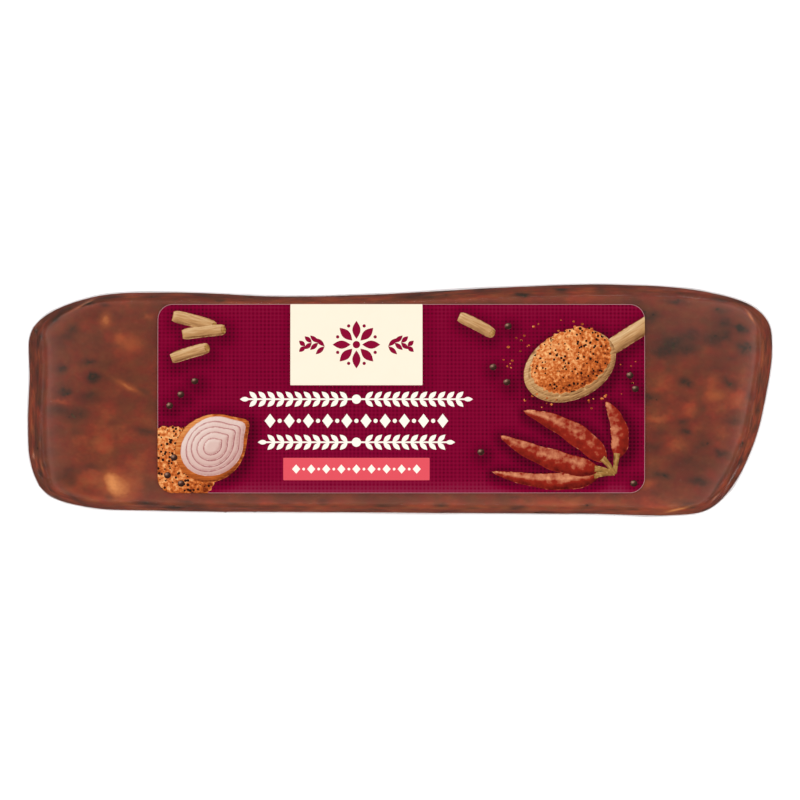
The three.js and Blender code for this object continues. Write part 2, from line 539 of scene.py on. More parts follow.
# Dark spots of soaked rub on the two bare ends of the upper face, in millimetres
DARK_SPOTS = (
    Spot(-123.5, 11.6, 2.7, 2.0, 20, 0.9), Spot(-113.2, 13.8, 3.3, 1.6, 0, 0.75),
    Spot(-112.1, 8.3, 2.9, 2.0, 0, 1.1), Spot(-122.4, 2.8, 2.9, 1.6, 0, 1),
    Spot(-114.0, 1.4, 4.0, 2.2, 0, 0.6), Spot(-124.6, -3.6, 4.8, 1.5, 0, 0.52),
    Spot(-120.9, -5.9, 2.4, 1.8, 0, 0.34), Spot(-116.9, -5.2, 3.3, 2.2, 0, 0.6),
    Spot(-118.0, -11.4, 2.6, 1.8, 0, 0.35), Spot(-119.5, 25.9, 2.4, 1.8, 30, 0.55),
    Spot(-122.8, 22.9, 3.1, 2.0, 0, 0.5), Spot(-122.0, -26.8, 4.0, 2.2, 20, 0.5),
    Spot(-120.2, -30.1, 2.4, 2.0, 0, 0.5), Spot(-113.2, -24.6, 3.3, 1.5, 10, 0.45),
    Spot(-92.8, -11.4, 4.8, 1.3, -12, 0.6), Spot(-105.2, -8.1, 2.2, 1.5, 0, 0.35),
    Spot(-93.9, 3.2, 2.0, 1.0, -30, 0.4), Spot(-104.8, 13.8, 4.4, 1.0, 24, 0.3),
    Spot(-108.1, 34.6, 2.0, 1.0, 5, 0.7), Spot(-92.0, -31.9, 2.9, 2.9, 0, 0.35),
    Spot(-106.7, -35.6, 1.3, 1.3, 0, 0.4), Spot(91.5, 30.3, 4.4, 2.7, 10, 0.7),
    Spot(101.0, 36.1, 3.3, 1.3, 0, 0.75), Spot(117.8, 32.8, 4.0, 1.2, -8, 0.4),
    Spot(118.9, 28.1, 2.6, 2.0, 0, 0.65), Spot(125.1, 25.9, 2.9, 1.6, -18, 1.1),
    Spot(126.6, 19.3, 4.0, 2.4, 0, 0.85), Spot(125.9, 16.4, 2.9, 1.6, 0, 0.3),
    Spot(106.1, 21.1, 14.6, 4.8, 0, 0.22), Spot(116.4, 29.2, 11.0, 3.7, 0, 0.12),
    Spot(99.2, 20.7, 4.8, 2.6, 20, 0.7), Spot(95.1, 17.1, 4.0, 1.8, 0, 0.6),
    Spot(104.7, 18.2, 4.8, 1.8, 5, 0.55), Spot(106.8, 24.4, 2.9, 2.2, 30, 0.5),
    Spot(115.6, 22.6, 5.5, 2.6, 8, 0.6), Spot(120.0, 23.7, 1.8, 1.8, 0, 0.35),
    Spot(121.8, 15.3, 1.8, 1.0, 10, 0.35), Spot(98.4, 11.2, 1.2, 1.0, 0, 0.3),
    Spot(104.7, 6.5, 3.3, 1.5, -30, 0.9), Spot(120.0, 6.5, 3.3, 1.5, -40, 0.6),
    Spot(116.0, 11.6, 3.7, 1.3, 0, 0.4), Spot(91.5, 1.0, 2.9, 1.8, 0, 0.75),
    Spot(104.3, 0.3, 2.0, 1.0, 0, 0.25), Spot(110.5, -2.7, 1.8, 2.7, 0, 0.28),
    Spot(103.6, -8.0, 2.0, 1.0, 0, 0.6), Spot(104.5, -11.4, 2.6, 1.5, -25, 0.85),
    Spot(122.2, -8.1, 3.3, 1.3, 0, 0.52), Spot(94.1, -12.2, 3.3, 1.8, 0, 0.45),
    Spot(93.7, -17.3, 2.9, 1.5, 0, 0.4), Spot(110.5, -16.2, 3.7, 2.2, 20, 0.55),
    Spot(117.4, -19.5, 2.7, 1.3, -15, 0.75), Spot(102.8, -23.5, 4.8, 2.0, 20, 0.35),
    Spot(95.9, -27.5, 3.7, 1.6, -8, 0.75), Spot(109.0, -29.7, 3.7, 1.6, -8, 0.8),
    Spot(109.8, -32.3, 4.4, 1.8, 0, 0.12), Spot(105.7, -37.9, 2.9, 0.7, 0, 0.5),
)

# Dark streaks along the rim, drawn out along the outline
DARK_STREAKS = (
    Spot(-125.9, 29.9, 4.4, 1.4, 47, 0.9), Spot(-121.5, 33.4, 3.3, 0.8, 32, 0.4),
    Spot(-115.4, 34.6, 5.1, 0.5, 33, 0.5), Spot(-134.4, 20.0, 0.9, 2.6, 0, 0.5),
    Spot(-133.4, 10.1, 0.7, 3.7, 0, 0.4), Spot(-130.4, 5.4, 1.0, 2.6, 0, 0.5),
    Spot(-133.9, -9.6, 0.8, 4.4, 0, 0.5), Spot(-133.2, -16.9, 0.7, 2.9, 0, 0.5),
    Spot(-118.7, -36.3, 5.5, 0.7, -38, 0.6), Spot(-92.8, -37.9, 5.1, 1.1, -8, 0.9),
    Spot(-78.9, -37.0, 3.3, 0.8, -8, 0.6), Spot(-61.7, -38.1, 2.2, 0.6, -6, 0.5),
    Spot(-42.0, -37.7, 2.6, 0.6, -6, 0.4), Spot(-28.4, -36.7, 2.6, 0.6, 10, 0.35),
    Spot(-6.9, -38.5, 2.2, 0.7, -10, 0.45), Spot(25.7, -39.6, 4.0, 0.4, 0, 0.5),
    Spot(42.1, -35.6, 2.9, 0.7, 0, 0.5), Spot(17.3, 40.1, 7.3, 0.4, 7, 0.5),
    Spot(58.6, 40.1, 3.3, 0.9, -30, 0.5), Spot(73.2, 41.2, 2.6, 1.1, -40, 0.5),
    Spot(82.4, 39.4, 2.9, 0.7, -30, 0.4), Spot(128.4, 1.4, 1.0, 2.0, 0, 0.5),
    Spot(134.6, 18.2, 0.7, 5.1, 4, 0.4), Spot(134.6, 10.5, 0.7, 3.7, -8, 0.3),
    Spot(131.0, 30.3, 4.8, 0.8, -59, 0.35), Spot(131.3, 5.4, 0.5, 5.8, -12, 0.4),
    Spot(116.9, -30.4, 0.7, 5.5, -32, 0.6), Spot(122.0, -29.0, 3.7, 0.3, 57, 0.5),
    Spot(-54.7, 37.6, 5.8, 0.5, 0, 0.35),
)

# Patches where the rub lies thinner and redder, and with a negative strength thicker and browner
WARM_PATCHES = (
    Spot(-105.2, -20.2, 15.4, 12.4, 0, 0.34), Spot(-107.4, -9.6, 4.0, 5.1, 0, 0.6),
    Spot(-108.5, -16.9, 4.0, 3.3, 0, 0.8), Spot(-116.9, -15.8, 4.0, 2.9, 0, 0.5),
    Spot(-114.0, -29.0, 4.4, 2.9, 0, 0.75), Spot(-105.2, -31.5, 10.2, 5.5, 0, 0.8),
    Spot(-124.2, -0.5, 4.4, 0.9, -4, 0.9), Spot(-102.6, 22.9, 1.6, 1.8, 0, 1),
    Spot(-99.0, 20.0, 4.4, 3.1, 0, 0.7), Spot(-92.0, 30.3, 2.2, 1.1, 0, 0.8),
    Spot(-91.3, 12.7, 2.9, 2.2, 0, 0.35), Spot(-93.9, -22.0, 4.4, 5.1, 0, 0.35),
    Spot(96.2, 5.4, 2.6, 2.2, 0, 0.5), Spot(106.1, -3.7, 2.6, 2.7, 20, 0.8),
    Spot(94.8, -6.7, 4.4, 1.2, 0, 1.3), Spot(102.1, -16.9, 5.5, 2.6, 0, 0.8),
    Spot(123.3, 1.0, 2.9, 2.9, 0, 1), Spot(111.2, 18.2, 2.9, 2.2, 0, 0.45),
    Spot(96.2, 14.2, 2.9, 0.7, 5, 0.5), Spot(114.9, 1.7, 3.3, 1.8, 10, 0.9),
    Spot(113.8, 5.4, 1.8, 3.3, -20, 0.5), Spot(90.8, -30.4, 2.9, 1.8, 0, 0.9),
    Spot(98.1, -36.3, 9.5, 1.8, 0, 0.6), Spot(117.8, -11.8, 3.7, 2.2, 0, 0.4),
    Spot(123.7, -16.5, 1.5, 3.3, -20, 0.5), Spot(69.6, -37.7, 20.1, 1.8, 0, 0.6),
    Spot(14.7, -39.2, 4.8, 0.6, 0, 1.2), Spot(-36.5, -38.5, 14.6, 1.1, 0, 0.4),
    Spot(-102.3, -36.7, 7.3, 1.1, -6, 0.6), Spot(-10.9, 37.6, 14.6, 1.1, 2, 0.5),
    Spot(29.3, 37.6, 11.0, 1.1, 4, 0.6), Spot(106.1, 12.3, 11.0, 3.3, 0, 0.2),
    Spot(107.9, 25.5, 16.5, 8.0, 0, -0.3), Spot(-116.9, 18.2, 9.5, 9.5, 0, -0.12),
    Spot(-98.6, -0.1, 8.0, 2.9, 0, -0.45), Spot(106.1, -23.9, 11.0, 3.3, 0, -0.25),
    Spot(-108.1, 6.5, 5.5, 5.1, 0, -0.5), Spot(-133.0, -3.7, 2.2, 20.1, 0, -0.8),
    Spot(-126.8, -11.8, 2.9, 9.5, 0, 0.35), Spot(-111.1, -24.6, 3.7, 1.8, 0, -0.4),
    Spot(-117.6, -8.9, 3.7, 2.2, 0, -0.4), Spot(-115.1, -35.9, 8.0, 2.2, -28, 0.7),
    Spot(-103.7, 31.0, 6.6, 2.2, 0, -0.5), Spot(102.5, 36.1, 16.5, 1.8, 0, -0.6),
    Spot(106.1, -3.7, 8.8, 3.3, 0, 0.4), Spot(120.7, -0.8, 7.3, 3.7, 0, 0.45),
    Spot(107.9, -33.7, 5.8, 2.6, 0, 0.3), Spot(93.0, -17.6, 5.5, 4.0, 0, -0.7),
    Spot(98.8, -39.9, 13.2, 1.8, 6, 0.8), Spot(0.1, -39.6, 91.4, 2.9, 0, 0.5),
    Spot(121.8, -23.5, 1.5, 3.7, -25, -0.5), Spot(135.4, 10.1, 1.1, 9.1, 0, -0.35),
    Spot(130.2, 4.3, 1.5, 12.4, -10, 0.4), Spot(125.1, -0.1, 2.6, 5.8, -10, 0.5),
    Spot(108.7, -10.0, 2.6, 1.8, 0, 0.6), Spot(99.5, -4.8, 2.9, 2.2, 0, 0.5),
    Spot(99.5, 0.6, 2.2, 1.5, 0, 0.4), Spot(120.0, 13.4, 4.4, 3.3, 0, -0.4),
    Spot(-108.9, 0.6, 3.7, 2.2, 0, -0.45), Spot(-96.8, -32.3, 5.8, 3.7, 0, 0.35),
    Spot(-122.8, -18.4, 5.8, 4.4, 0, 0.4), Spot(-133.0, -22.8, 1.5, 4.4, 0, 0.5),
    Spot(96.6, 31.7, 5.1, 1.8, 0, -0.25), Spot(125.9, 8.0, 2.2, 5.8, -8, 0.5),
    Spot(130.6, -7.0, 1.8, 4.8, -12, 0.4), Spot(95.9, 5.8, 3.7, 1.8, 0, -0.3),
    Spot(-109.6, 31.4, 9.5, 1.8, -8, -0.35), Spot(113.4, -4.1, 5.1, 1.5, 0, 0.35),
    Spot(106.1, -41.8, 6.6, 1.5, 10, 0.5),
)

# Pale spots of fat and loose orange rub; the thin streaks among them on the rim are painted highlights
PALE_SPOTS = (
    Spot(-107.6, 29.2, 2.0, 2.7, -14, 0.41), Spot(-99.7, 5.0, 4.4, 1.0, -27, 0.4),
    Spot(-106.3, -28.6, 2.6, 2.6, 0, 0.4), Spot(-105.2, -31.2, 1.5, 2.9, 14, 0.36),
    Spot(-104.1, -31.2, 3.3, 3.7, 12, 0.34), Spot(-101.2, -31.9, 5.5, 4.4, 0, 0.34),
    Spot(-102.6, 22.9, 1.8, 2.0, 0, 0.2), Spot(-98.3, 20.7, 5.1, 3.5, 0, 0.18),
    Spot(-101.9, -34.8, 3.3, 2.2, 0, 0.12), Spot(-115.1, 35.4, 4.0, 0.5, 31, 0.55),
    Spot(128.4, 30.6, 0.5, 2.9, 32, 0.5), Spot(102.1, -40.1, 5.1, 0.5, 14, 0.8),
    Spot(115.6, -35.9, 2.2, 0.4, 45, 0.35), Spot(-131.2, -24.6, 0.5, 2.2, 8, 0.45),
    Spot(-134.8, -20.2, 0.4, 1.5, 10, 0.45), Spot(115.6, 1.4, 4.4, 2.0, 10, 0.25),
    Spot(113.8, 4.7, 1.8, 3.3, -20, 0.08), Spot(89.7, -30.8, 2.6, 1.6, 0, 0.22),
    Spot(-92.4, -40.3, 3.7, 0.4, 0, 0.3),
)


@dataclass(frozen=True)
class PorkFinish:
    """Moist meat under a red-brown rub: softly mottled on top, and streaked round the rim.

    The fields from broad to hue_patch are the sizes of the lumps and streaks in its mottling.
    """

    redder: tuple[Colour, ...] = (tint(99, 46, 36), tint(118, 51, 38), tint(135, 56, 39), tint(158, 65, 41),
                                  tint(172, 78, 48))
    browner: tuple[Colour, ...] = (tint(95, 53, 37), tint(110, 58, 39), tint(125, 64, 41), tint(147, 75, 45),
                                   tint(164, 88, 52))
    levels: tuple[float, ...] = (0.38, 0.46, 0.54, 0.62, 0.72)
    soaked: Colour = tint(56, 46, 37)
    orange: Colour = tint(176, 90, 48)
    # colour of fat, also the peak of the painted highlights among the pale spots
    fat_and_glint: Colour = tint(226, 146, 84)
    roughness: float = 0.45
    shine: float = 0.1
    calm: float = 0.55
    wall_contrast: float = 0.6
    streak_depth: float = 0.18
    # painted light: the rim's mottling is lifted to lighter, redder tones to make up for the dimmer light on
    # the turning rim
    rim_painted_light: float = 0.03
    patch_strength: float = 0.13
    # painted shade: the walls' mottling sits a little below the middle, to offset the brighter light that the
    # walls get
    wall_tone: float = 0.48
    broad: float = 15 * MM
    middling: float = 5.2 * MM
    grain: float = 1.1 * MM
    rim_broad: float = 13 * MM
    streak: float = 1.7 * MM
    thin_streak: float = 0.8 * MM
    hue_patch: float = 4.5 * MM

    def material(self) -> bpy.types.Material:
        """Builds the meat's material, which reads the numbers that its mesh carries.

        Returns:
            The material.
        """
        material, sheet, output = new_material("pork_under_rub")
        place = sheet.object_place()
        unrolled = sheet.add("ShaderNodeAttribute", attribute_name="unrolled").outputs["Vector"]
        fine = sheet.speckle(place, self.grain, 2, (1.3, 1, 1))
        wild = self.mixed(sheet, sheet.speckle(place, self.broad, 1, (1.3, 1, 1)),
                          sheet.speckle(place, self.middling, 2, (1.35, 1, 1)), fine)
        streaky = self.mixed(sheet, sheet.speckle(place, self.rim_broad, 1),
                             sheet.speckle(unrolled, self.streak, 2, (3.6, 3.6, 1)), fine)
        calm = sheet.math("ADD", sheet.math("MULTIPLY", wild, self.calm), 0.5 - 0.5 * self.calm)
        # walls mottled a little darker, as painted shade
        wall = sheet.math("ADD", sheet.math("MULTIPLY", wild, self.wall_contrast),
                          self.wall_tone - 0.5 * self.wall_contrast)
        walled = self.between(sheet, sheet.attribute("on_wall"), calm, wall)
        thin = sheet.math("SUBTRACT", sheet.speckle(unrolled, self.thin_streak, 2, (9, 9, 1)), 0.5)
        rim = sheet.math("ADD", streaky, sheet.math("MULTIPLY", thin, self.streak_depth))
        # painted light on the rim
        rim = sheet.math("ADD", rim, self.rim_painted_light)
        mottle = self.between(sheet, sheet.attribute("on_rim"), walled, rim)
        patches = sheet.math("MULTIPLY", sheet.attribute("warmth"), self.patch_strength)
        mottle = sheet.math("ADD", mottle, patches)
        hue = sheet.math("SUBTRACT", sheet.speckle(place, self.hue_patch, 2, (1.3, 1, 1)), 0.33)
        hue = sheet.math("MULTIPLY", hue, 3.0, clamp=True)
        colour = sheet.blend(hue, *(sheet.ramp(mottle, tuple(zip(self.levels, colours)))
                                    for colours in (self.redder, self.browner)))
        uneven = sheet.math("ADD", sheet.math("MULTIPLY", fine, 0.7), 0.65)
        # the pale mark turns the meat orange and then towards fat; on the thin streaks of the rim it is
        # painted highlight
        pale = sheet.math("MULTIPLY", sheet.attribute("pale"), uneven, clamp=True)
        colour = sheet.blend(sheet.math("MULTIPLY", pale, 2.0, clamp=True), colour, self.orange)
        fat_and_glint_share = sheet.math("SUBTRACT", sheet.math("MULTIPLY", pale, 1.5), 0.4, clamp=True)
        colour = sheet.blend(fat_and_glint_share, colour, self.fat_and_glint)
        ragged = sheet.math("MULTIPLY", sheet.math("SUBTRACT", fine, 0.5), 1.3)
        stain = sheet.math("MULTIPLY", sheet.attribute("stain"), sheet.math("ADD", ragged, 1.0), clamp=True)
        colour = sheet.blend(stain, colour, self.soaked)
        height = sheet.math("ADD", mottle, sheet.math("MULTIPLY", fine, 0.4))
        bump = sheet.add("ShaderNodeBump", {"Strength": 0.3, "Distance": 0.4 * MM, "Height": height})
        shader = sheet.add("ShaderNodeBsdfPrincipled", {
            "Base Color": colour, "Roughness": self.roughness, "Specular IOR Level": self.shine,
            "Normal": bump.outputs[0]})
        sheet.tree.links.new(shader.outputs[0], output.inputs["Surface"])
        return material

    @staticmethod
    def between(sheet: NodeSheet, amount: Any, first: Any, second: Any) -> bpy.types.NodeSocket:
        """A number between two others, nearer to the second as the amount grows to 1."""
        return sheet.math("ADD", first, sheet.math("MULTIPLY", amount, sheet.math("SUBTRACT", second, first)))

    @staticmethod
    def mixed(sheet: NodeSheet, broad: Any, middling: Any, fine: Any) -> bpy.types.NodeSocket:
        """Broad, middling and fine mottling in one."""
        coarse = sheet.math("ADD", sheet.math("MULTIPLY", broad, 0.4), sheet.math("MULTIPLY", middling, 0.42))
        return sheet.math("ADD", coarse, sheet.math("MULTIPLY", fine, 0.18))


@dataclass
class PorkLoin:
    """The meat inside the film, with its uneven surface and the stains of its rub.

    Stray spots lie at random places, and drift and ripple shift the edges of all spots so that none is an
    even oval. The stray spots' sizes are in millimetres.
    """

    form: PackForm
    finish: PorkFinish = PorkFinish()
    gap: float = 0.35 * MM
    around: int = 720
    lump_height: float = 0.16 * MM
    lump_size: float = 7 * MM
    stray_spots: int = 460
    stray_pale: int = 26
    smallest_stray: float = 0.7
    widest_stray: float = 2.3
    widest_pale: float = 2.6
    stray_stretch: float = 1.7
    stray_depth: float = 0.8 * MM
    dark_firmness: float = 1.1
    pale_firmness: float = 1.05
    patch_firmness: float = 1.3
    drift_size: float = 2.6 * MM
    drift: float = 0.8 * MM
    little_drift: float = 0.25 * MM
    ripple_size: float = 1.1 * MM
    ripple: float = 0.3 * MM
    rim_start: float = 2.5 * MM
    rim_fade: float = 3 * MM
    wall_fade: float = 7 * MM
    side_rings: int = 18
    rim_rings: int = 34
    face_pitch: float = 0.55 * MM
    under_pitch: float = 2.5 * MM
    label_margin: float = 4 * MM
    seed: int = 27

    def build(self) -> bpy.types.Object:
        """Makes the meat, stains it and dresses it.

        Returns:
            The meat as one closed mesh.
        """
        low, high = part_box(LABEL_NODE)
        low, high = np.array(low)[:2] + self.label_margin, np.array(high)[:2] - self.label_margin

        def under_label(flat: np.ndarray) -> np.ndarray:
            """Tells which places the label hides."""
            return ((flat > low) & (flat < high)).all(axis=1)

        skin = self.form.skin(self.around, self.side_rings, self.rim_rings,
                              self.face_pitch, self.under_pitch, under_label)
        piece = new_piece("pork_loin", skin.points, skin.faces)
        rough = lumps(skin.points * (0.6, 1, 1), self.lump_size)
        push_out(piece.data, -self.gap - self.lump_height * (1 - np.clip(rough, -1, 1)) / 2)
        self.mark_rim(piece.data, skin)
        self.stain(piece.data)
        piece.data.materials.append(self.finish.material())
        return piece

    def mark_rim(self, mesh: bpy.types.Mesh, skin: Skin) -> None:
        """Stores how far each vertex is on the rim and on the walls, and its place on the unrolled rim.

        Args:
            mesh: The meat's mesh.
            skin: The skin that it was made from.
        """
        unrolled = skin.points.copy()
        unrolled[:skin.ring_count] = skin.unrolled()
        below_face = np.clip((skin.across.max() - skin.across - self.rim_start) / self.rim_fade, 0, 1)
        above_wall = np.clip(1 + skin.across / self.wall_fade, 0, 1)
        store_places(mesh, "unrolled", unrolled)
        for name, amount in (("on_rim", below_face * above_wall), ("on_wall", below_face)):
            values = np.zeros(len(skin.points))
            values[:skin.ring_count] = amount
            store(mesh, name, values)

    def stain(self, mesh: bpy.types.Mesh) -> None:
        """Stores how dark, pale, warm and thickly rubbed the meat is at each vertex.

        Args:
            mesh: The meat's mesh.
        """
        places, _ = vertex_arrays(mesh)
        drift = np.column_stack([lumps(places + shift, self.drift_size) for shift in (0.0, 0.3, 0.7)])
        ripple = np.column_stack([lumps(places + shift, self.ripple_size) for shift in (0.2, 0.5, 0.9)])
        warped = places + drift * self.drift + ripple * self.ripple
        little = (places + drift * self.little_drift)[:, :2]
        above = places[:, 2] > self.form.widest_height
        dark = sum(spot.cover(warped[:, :2], self.dark_firmness) for spot in DARK_SPOTS) * above
        dark += sum(spot.cover(little) for spot in DARK_STREAKS) * above
        # pale holds fat and loose rub, and painted highlights in thin streaks on the rim
        pale = sum(spot.cover(little, self.pale_firmness) for spot in PALE_SPOTS) * above
        warmth = sum(patch.cover(warped[:, :2], self.patch_firmness) for patch in WARM_PATCHES) * above
        random = np.random.default_rng(self.seed)
        face_level = self.form.upper_height(places[:, :2]) - self.gap - self.stray_depth
        wall_level = np.full(len(places), self.form.widest_height)
        for count, total, widest, limit in ((self.stray_spots, dark, self.widest_stray, face_level),
                                            (self.stray_pale, pale, self.widest_pale, wall_level)):
            for number in random.choice(len(places), count):
                if places[number, 2] < limit[number]:
                    reach = random.uniform(self.smallest_stray, widest) * MM
                    total += self.stray(warped, places[number], reach, random.uniform(0.25, 0.8))
        store(mesh, "stain", np.clip(dark, 0, 1))
        store(mesh, "pale", np.clip(pale, 0, 1))
        store(mesh, "warmth", warmth)
        store(mesh, "rubbed", np.clip(dark - 0.3, 0, 1))

    def stray(self, places: np.ndarray, middle: np.ndarray, reach: float, strength: float) -> np.ndarray:
        """A spot on any side of the meat, drawn out along the loin."""
        offset = (places - middle) / (self.stray_stretch * reach, reach, reach)
        return strength * np.exp(-(offset**2).sum(axis=1))


@dataclass(frozen=True)
class RubFinish:
    """Dry flakes, each in its own shade."""

    name: str
    dark: Colour
    light: Colour
    roughness: float = 0.7

    def material(self) -> bpy.types.Material:
        """Builds the flakes' material.

        Returns:
            The material.
        """
        material, sheet, output = new_material(self.name)
        place = sheet.object_place()
        shade = sheet.speckle(place, 1.6 * MM, 2)
        colour = sheet.ramp(shade, ((0.35, self.dark), (0.65, self.light)))
        bump = sheet.add("ShaderNodeBump", {
            "Strength": 0.4, "Distance": 0.1 * MM, "Height": sheet.speckle(place, 0.3 * MM, 2)})
        shader = sheet.add("ShaderNodeBsdfPrincipled", {
            "Base Color": colour, "Roughness": self.roughness, "Specular IOR Level": 0.05,
            "Normal": bump.outputs[0]})
        sheet.tree.links.new(shader.outputs[0], output.inputs["Surface"])
        return material


@dataclass(frozen=True)
class Rub:
    """One kind of flake in the rub, scattered over the meat where it is thickly rubbed."""

    name: str
    finish: RubFinish
    per_square_metre: float
    shortest: float
    longest: float
    width_share: float
    thickness_share: float
    seed: int
    forms: int = 5
    raggedness: float = 0.3
    tilt: float = 0.12

    def scatter_tree(self) -> bpy.types.NodeTree:
        """Builds the tree that scatters ragged flakes flat on a surface.

        Returns:
            The tree, with inputs for the surface and the flakes' number, sizes, seed and finish.
        """
        tree = bpy.data.node_groups.new(self.name, "GeometryNodeTree")
        for name, kind in (("Geometry", "Geometry"), ("Flakes per area", "Float"), ("Shortest", "Float"),
                           ("Longest", "Float"), ("Seed", "Int"), ("Finish", "Material")):
            tree.interface.new_socket(name=name, in_out="INPUT", socket_type="NodeSocket" + kind)
        tree.interface.new_socket(name="Geometry", in_out="OUTPUT", socket_type="NodeSocketGeometry")
        sheet = NodeSheet(tree)
        given = sheet.add("NodeGroupInput").outputs
        rubbed = sheet.add("GeometryNodeInputNamedAttribute", {"Name": "rubbed"}, data_type="FLOAT")
        density = sheet.math("MULTIPLY", rubbed.outputs[0], given["Flakes per area"])
        points = sheet.add("GeometryNodeDistributePointsOnFaces", {
            "Mesh": given["Geometry"], "Density": density, "Seed": given["Seed"]})
        length = sheet.add("FunctionNodeRandomValue", {
            2: given["Shortest"], 3: given["Longest"], "Seed": given["Seed"]}, data_type="FLOAT").outputs[1]
        size = sheet.add("ShaderNodeCombineXYZ", {
            0: length, 1: sheet.math("MULTIPLY", length, self.width_share),
            2: sheet.math("MULTIPLY", length, self.thickness_share)})
        spin = sheet.add("FunctionNodeRandomValue", {
            0: (-self.tilt, -self.tilt, 0.0), 1: (self.tilt, self.tilt, math.tau),
            "Seed": given["Seed"]}, data_type="FLOAT_VECTOR")
        turned = sheet.add("FunctionNodeRotateRotation", {
            0: points.outputs["Rotation"],
            1: sheet.add("FunctionNodeEulerToRotation", {0: spin.outputs[0]}).outputs[0]},
            rotation_space="LOCAL")
        placed = sheet.add("GeometryNodeInstanceOnPoints", {
            "Points": points.outputs["Points"], "Instance": self.flake_forms(sheet), "Pick Instance": True,
            "Rotation": turned.outputs[0], "Scale": size.outputs[0]})
        whole = sheet.add("GeometryNodeRealizeInstances", {0: placed.outputs[0]})
        dressed = sheet.add("GeometryNodeSetMaterial", {
            "Geometry": whole.outputs[0], "Material": given["Finish"]})
        sheet.add("NodeGroupOutput", {0: dressed.outputs[0]})
        return tree

    def flake_forms(self, sheet: NodeSheet) -> bpy.types.NodeSocket:
        """Some ragged flakes of length 1, to pick from.

        Args:
            sheet: The sheet of the tree that they are made in.

        Returns:
            The socket that gives the flakes as instances.
        """
        joined = sheet.add("GeometryNodeJoinGeometry")
        place = sheet.add("GeometryNodeInputPosition").outputs[0]
        for number in range(self.forms):
            ball = sheet.add("GeometryNodeMeshIcoSphere", {"Radius": 0.5, "Subdivisions": 1})
            moved = sheet.add("ShaderNodeVectorMath", {0: place, 1: (number * 3.7, 1.3, 0.4)},
                              operation="ADD")
            wild = sheet.add("ShaderNodeTexNoise", {
                "Vector": moved.outputs[0], "Scale": 1.6, "Detail": 1.0})
            even = sheet.add("ShaderNodeVectorMath", {0: wild.outputs["Color"], 1: (0.5, 0.5, 0.5)},
                             operation="SUBTRACT")
            shift = sheet.add("ShaderNodeVectorMath", {0: even.outputs[0], "Scale": self.raggedness * 4},
                              operation="SCALE")
            ragged = sheet.add("GeometryNodeSetPosition", {
                "Geometry": ball.outputs["Mesh"], "Offset": shift.outputs[0]})
            single = sheet.add("GeometryNodeGeometryToInstance", {0: ragged.outputs[0]})
            sheet.tree.links.new(single.outputs[0], joined.inputs[0])
        return joined.outputs[0]

    def build(self, meat: bpy.types.Object) -> bpy.types.Object:
        """Scatters the flakes over the meat.

        Args:
            meat: The pork, whose mesh says where it is rubbed.

        Returns:
            The flakes as one plain mesh.
        """
        piece = bpy.data.objects.new(self.name, meat.data.copy())
        bpy.context.scene.collection.objects.link(piece)
        tree = self.scatter_tree()
        modifier = piece.modifiers.new("scatter", "NODES")
        modifier.node_group = tree
        wanted = {"Flakes per area": self.per_square_metre, "Shortest": self.shortest,
                  "Longest": self.longest, "Seed": self.seed, "Finish": self.finish.material()}
        for item in tree.interface.items_tree:
            if item.in_out == "INPUT" and item.name in wanted:
                modifier[item.identifier] = wanted[item.name]
        evaluated = piece.evaluated_get(bpy.context.evaluated_depsgraph_get())
        flakes = bpy.data.meshes.new_from_object(evaluated)
        piece.modifiers.clear()
        piece.data = flakes
        flakes.name = self.name
        return piece


# Places where the film's milkiness and painted sheen over the upper face are stronger, or weaker
MILKY_AND_SHEEN_PLACES = (
    Spot(108.0, 27.0, 32.0, 13.0, -6, 0.014), Spot(104.0, -31.0, 24.0, 10.0, 12, 0.009),
    Spot(-97.0, -32.0, 9.0, 5.0, 0, 0.009), Spot(-116.0, -34.8, 12.0, 5.0, -28, -0.04),
    Spot(-118.0, 19.0, 16.0, 11.0, 0, 0.005), Spot(-104.0, 4.0, 9.0, 12.0, 0, -0.008),
    Spot(0.0, -36.5, 100.0, 3.0, 0, 0.018), Spot(-113.0, 33.0, 10.0, 4.0, 25, -0.02),
    Spot(-110.5, -17.5, 7.0, 6.0, 0, -0.02),
)

# Painted highlights on the rim: thin bright lines where the film's folds catch the light
PAINTED_GLINTS = (
    Spot(122.3, -27.8, 3.6, 0.25, 61, 0.27), Spot(115.6, -35.9, 2.0, 0.25, 48, 0.14),
    Spot(-115.3, 35.5, 3.8, 0.3, 31, 0.14), Spot(-131.2, 23.5, 2.6, 0.3, 80, 0.12),
    Spot(-134.6, -20.4, 1.2, 0.25, 80, 0.25), Spot(128.6, 30.8, 2.6, 0.3, -58, 0.12),
)


